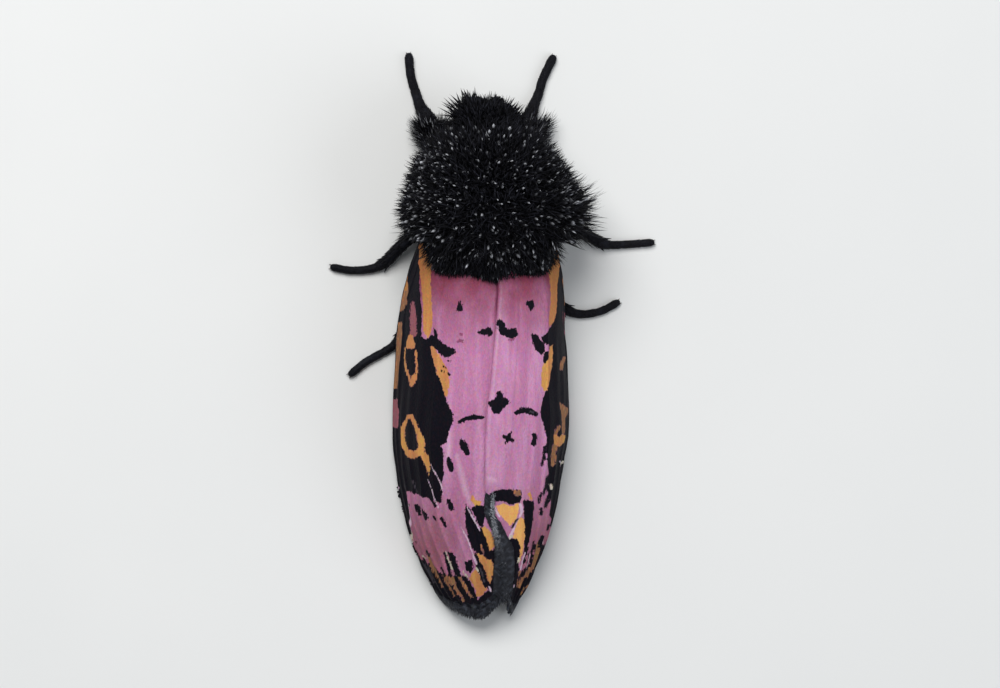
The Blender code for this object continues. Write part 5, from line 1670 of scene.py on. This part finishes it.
def leg(name):
    path, radii, foot = leg_path(name)
    shapes = [tube(path, radii, 24)]
    headings, _, _ = frames(path)
    shin_end = int(np.searchsorted(arc_shares(path), foot))
    spurs = () if "fore" in name else SPURS + (HIND_SPURS if "hind" in name else ())
    for before, length, turn in spurs:
        at = shin_end - before
        aside = np.cross((0, 0, 1), headings[at])
        heading = unit(headings[at] * (1, 1, 0.2) + aside * turn)
        shapes.append(spike(path[at] + aside * np.sign(turn) * radii[at] * 0.7, heading, length, 0.055))
    kept(mesh_object(f"{name}_skin", *joined(shapes), MATERIALS["leg"]), "chitin", name)
    claws = []
    aside = np.cross((0, 0, 1), headings[-1])
    for turn in (1, -1):
        base = path[-1] + aside * turn * 0.07 + (0, 0, 0.02)
        claws.append(spike(base, unit(headings[-1] + aside * turn * 0.2), 0.24, 0.045, (0, 0, -0.1)))
    kept(mesh_object(f"{name}_claws", *joined(claws), MATERIALS["horn"]), "chitin")
    return path, radii, foot


def leg_scales(name, path, radii, foot):
    upper = tube_coat(path, radii, BLADES["leg"], (0.1, foot), 0.25, (0.16, 1.0), 0.028)
    lower = tube_coat(path, radii, BLADES["leg"], (foot, 0.985), 0.14, (0.08, 1.0), 0.022)
    paths, normals, widths, root_map = (np.concatenate(both) for both in zip(upper, lower))
    coat(f"{name}_scales", "chitin", paths, normals, widths, root_map, MATERIALS["leg_scales"])


def fore_leg_hair(name, path, radii):
    """The long hair of a fore leg's thigh and shin."""
    side = LEFT if path[-1][0] > 0 else RIGHT
    drawn = tube_roots(path, radii, BLADES["thigh"], (0.3, 0.66), lowest=0.3, front=-10.5)
    share, angle, roots, normals, headings = drawn
    lies = tangent(unit(headings * 0.6 + np.array((side * 0.35, -0.7, 0.15))), normals)
    count = len(roots)
    ends = smoothstep(0.3, 0.4, share) * (1 - 0.45 * smoothstep(0.52, 0.66, share))
    outer = 1.45 if side == RIGHT else 1.1
    lengths = (0.45 + 0.5 * ends) * outer * DRAW.uniform(0.6, 1.15, count)
    paths = grown(roots, normals, lies, lengths, (0.95, 0.35), (0.5, 0.9), 0.22, floor=0.08)
    root_map = np.stack([share, (angle + 1) / 6], -1)
    # A few blades with pale ends: partly pale scale tips, partly painted glints
    pale = (DRAW.uniform(0, 1, count) < 0.16) * DRAW.uniform(0.1, 0.5, count)
    coat(f"{name}_hair", "coat", paths, normals, 0.03, root_map, MATERIALS["coat"], pale)


def antenna(side):
    name = f"antenna_{SIDE_NAMES[side]}"
    rows = smooth_path(ANTENNA, 24) * (side, 1, 1, 1)
    ring = 0.5 + 0.5 * np.cos(np.arange(len(rows)) * 2 * math.pi / 6)
    radii = (0.12 - 0.06 * np.linspace(0, 1, len(rows))) * (1 - 0.22 * ring**3)
    kept(mesh_object(f"{name}_skin", *tube(rows[:, :3], radii, 14), MATERIALS["leg"]), "chitin", name)


def palp(side):
    name = f"palp_{SIDE_NAMES[side]}"
    rows = smooth_path(PALP, 12) * (side, 1, 1, 1)
    path, radii = rows[:, :3], rows[:, 3]
    kept(mesh_object(f"{name}_skin", *tube(path, radii * 0.92, 24), MATERIALS["leg"]), "coat", name)
    scales = tube_coat(path, radii, BLADES["palp"], (0.02, 0.98), 0.24, (0.45, 0.6), 0.028, 0.3)
    coat(f"{name}_coat", "coat", *scales, MATERIALS["coat"])


# Fringes


def surface_paths(side, y, down, heading_y, heading_down, lengths, lift, rise=0.05):
    """Paths that run over the arch from their roots."""
    stations = []
    for share in SHARES:
        at = y + heading_y * lengths * share, down + heading_down * lengths * share
        stations.append(arch_place(side, *at) + arch_normal(side, *at) * (lift + rise * share)[:, None])
    return np.stack(stations, 1)


def fringe(side):
    """Fringe scales along the outer margin and round the wing's rear edge."""
    count = BLADES["fringe"]
    y = DRAW.uniform(7.6 if side == LEFT else 8.7, 12.7, count)
    down = side * seam_x(y) + between(FRINGE_REACH[side], y) + DRAW.uniform(-0.12, 0.03, count)
    slant = DRAW.normal(0.8, 0.2, count)
    lengths = np.clip(between(FRINGE_REACH[side], y) + 0.1, 0.1, 1) * DRAW.uniform(0.8, 1.1, count)
    lift = DRAW.uniform(0.0, 0.05, count)
    margin = surface_paths(side, y, down, slant, -1.0, lengths, lift)
    across = DRAW.uniform(0, 1, count)
    end = forewing_end_y(side, across)
    rear_y = end - DRAW.uniform(0.3, 0.5, count)
    start = side * seam_x(rear_y) + 0.05
    rear_down = start + (lower_edge_down(rear_y) - start) * across
    reach = end - rear_y + DRAW.uniform(-0.2, 0.08, count)
    rear = surface_paths(side, rear_y, rear_down, 1.0, DRAW.normal(0, 0.12, count), reach, lift)
    paths = np.concatenate([margin, rear])
    normals = np.concatenate([arch_normal(side, y, down), arch_normal(side, rear_y, rear_down)])
    paths[..., 2] = np.maximum(paths[..., 2], 0.08)
    root_map = np.stack([np.append(y, rear_y) / 15, (np.append(down, rear_down) + 2) / 12], -1)
    # Blades paler towards the top of the fringe, a painted sheen like that on the surface under them; a few
    # pale blades throughout
    bright = (1 - smoothstep(8.9, 10.8, y)) * DRAW.uniform(0.1, 0.9, count)
    pale = np.append(bright, np.zeros(count)) + (DRAW.uniform(0, 1, 2 * count) < 0.03) * 0.4
    name = f"forewing_{SIDE_NAMES[side]}_fringe"
    coat(name, "forewing_scales", paths, normals, 0.035, root_map, MATERIALS["fringe"], pale, depth=0.35)


# All of it

MARKS = {side: forewing_marks(side) for side in SIDE_NAMES}
MATERIALS = {
    "forewing": forewing_material(),
    "hindwing": hindwing_material(),
    "coat": coat_material(),
    "abdomen_coat": coat_material("abdomen_hair", (0.012, 0.01, 0.012), (0.06, 0.045, 0.05), 0.5),
    "leg_scales": coat_material("leg_hair_scales", (0.003, 0.003, 0.005), (0.03, 0.032, 0.044), 0.5),
    "fringe": coat_material(
        "fringe_scales", (0.02, 0.021, 0.027), (0.12, 0.13, 0.155), 0.55, patch=(0.045, 0.05, 0.064)
    ),
    "skin": skin_material(),
    "leg": leg_material(),
    "horn": horn_material(),
    "eye": eye_material(),
}

add_stage()
add_camera()
body_skin()
for side in SIDE_NAMES:
    forewing(side)
    hindwing(side)
    fringe(side)
    eye(side)
    palp(side)
    antenna(side)
for name in LEGS:
    path, radii, foot = leg(name)
    leg_scales(name, path, radii, foot)
    if "fore" in name:
        fore_leg_hair(name, path, radii)
thorax_coat()
glints()
head_coat()
shawl()
abdomen_coat()
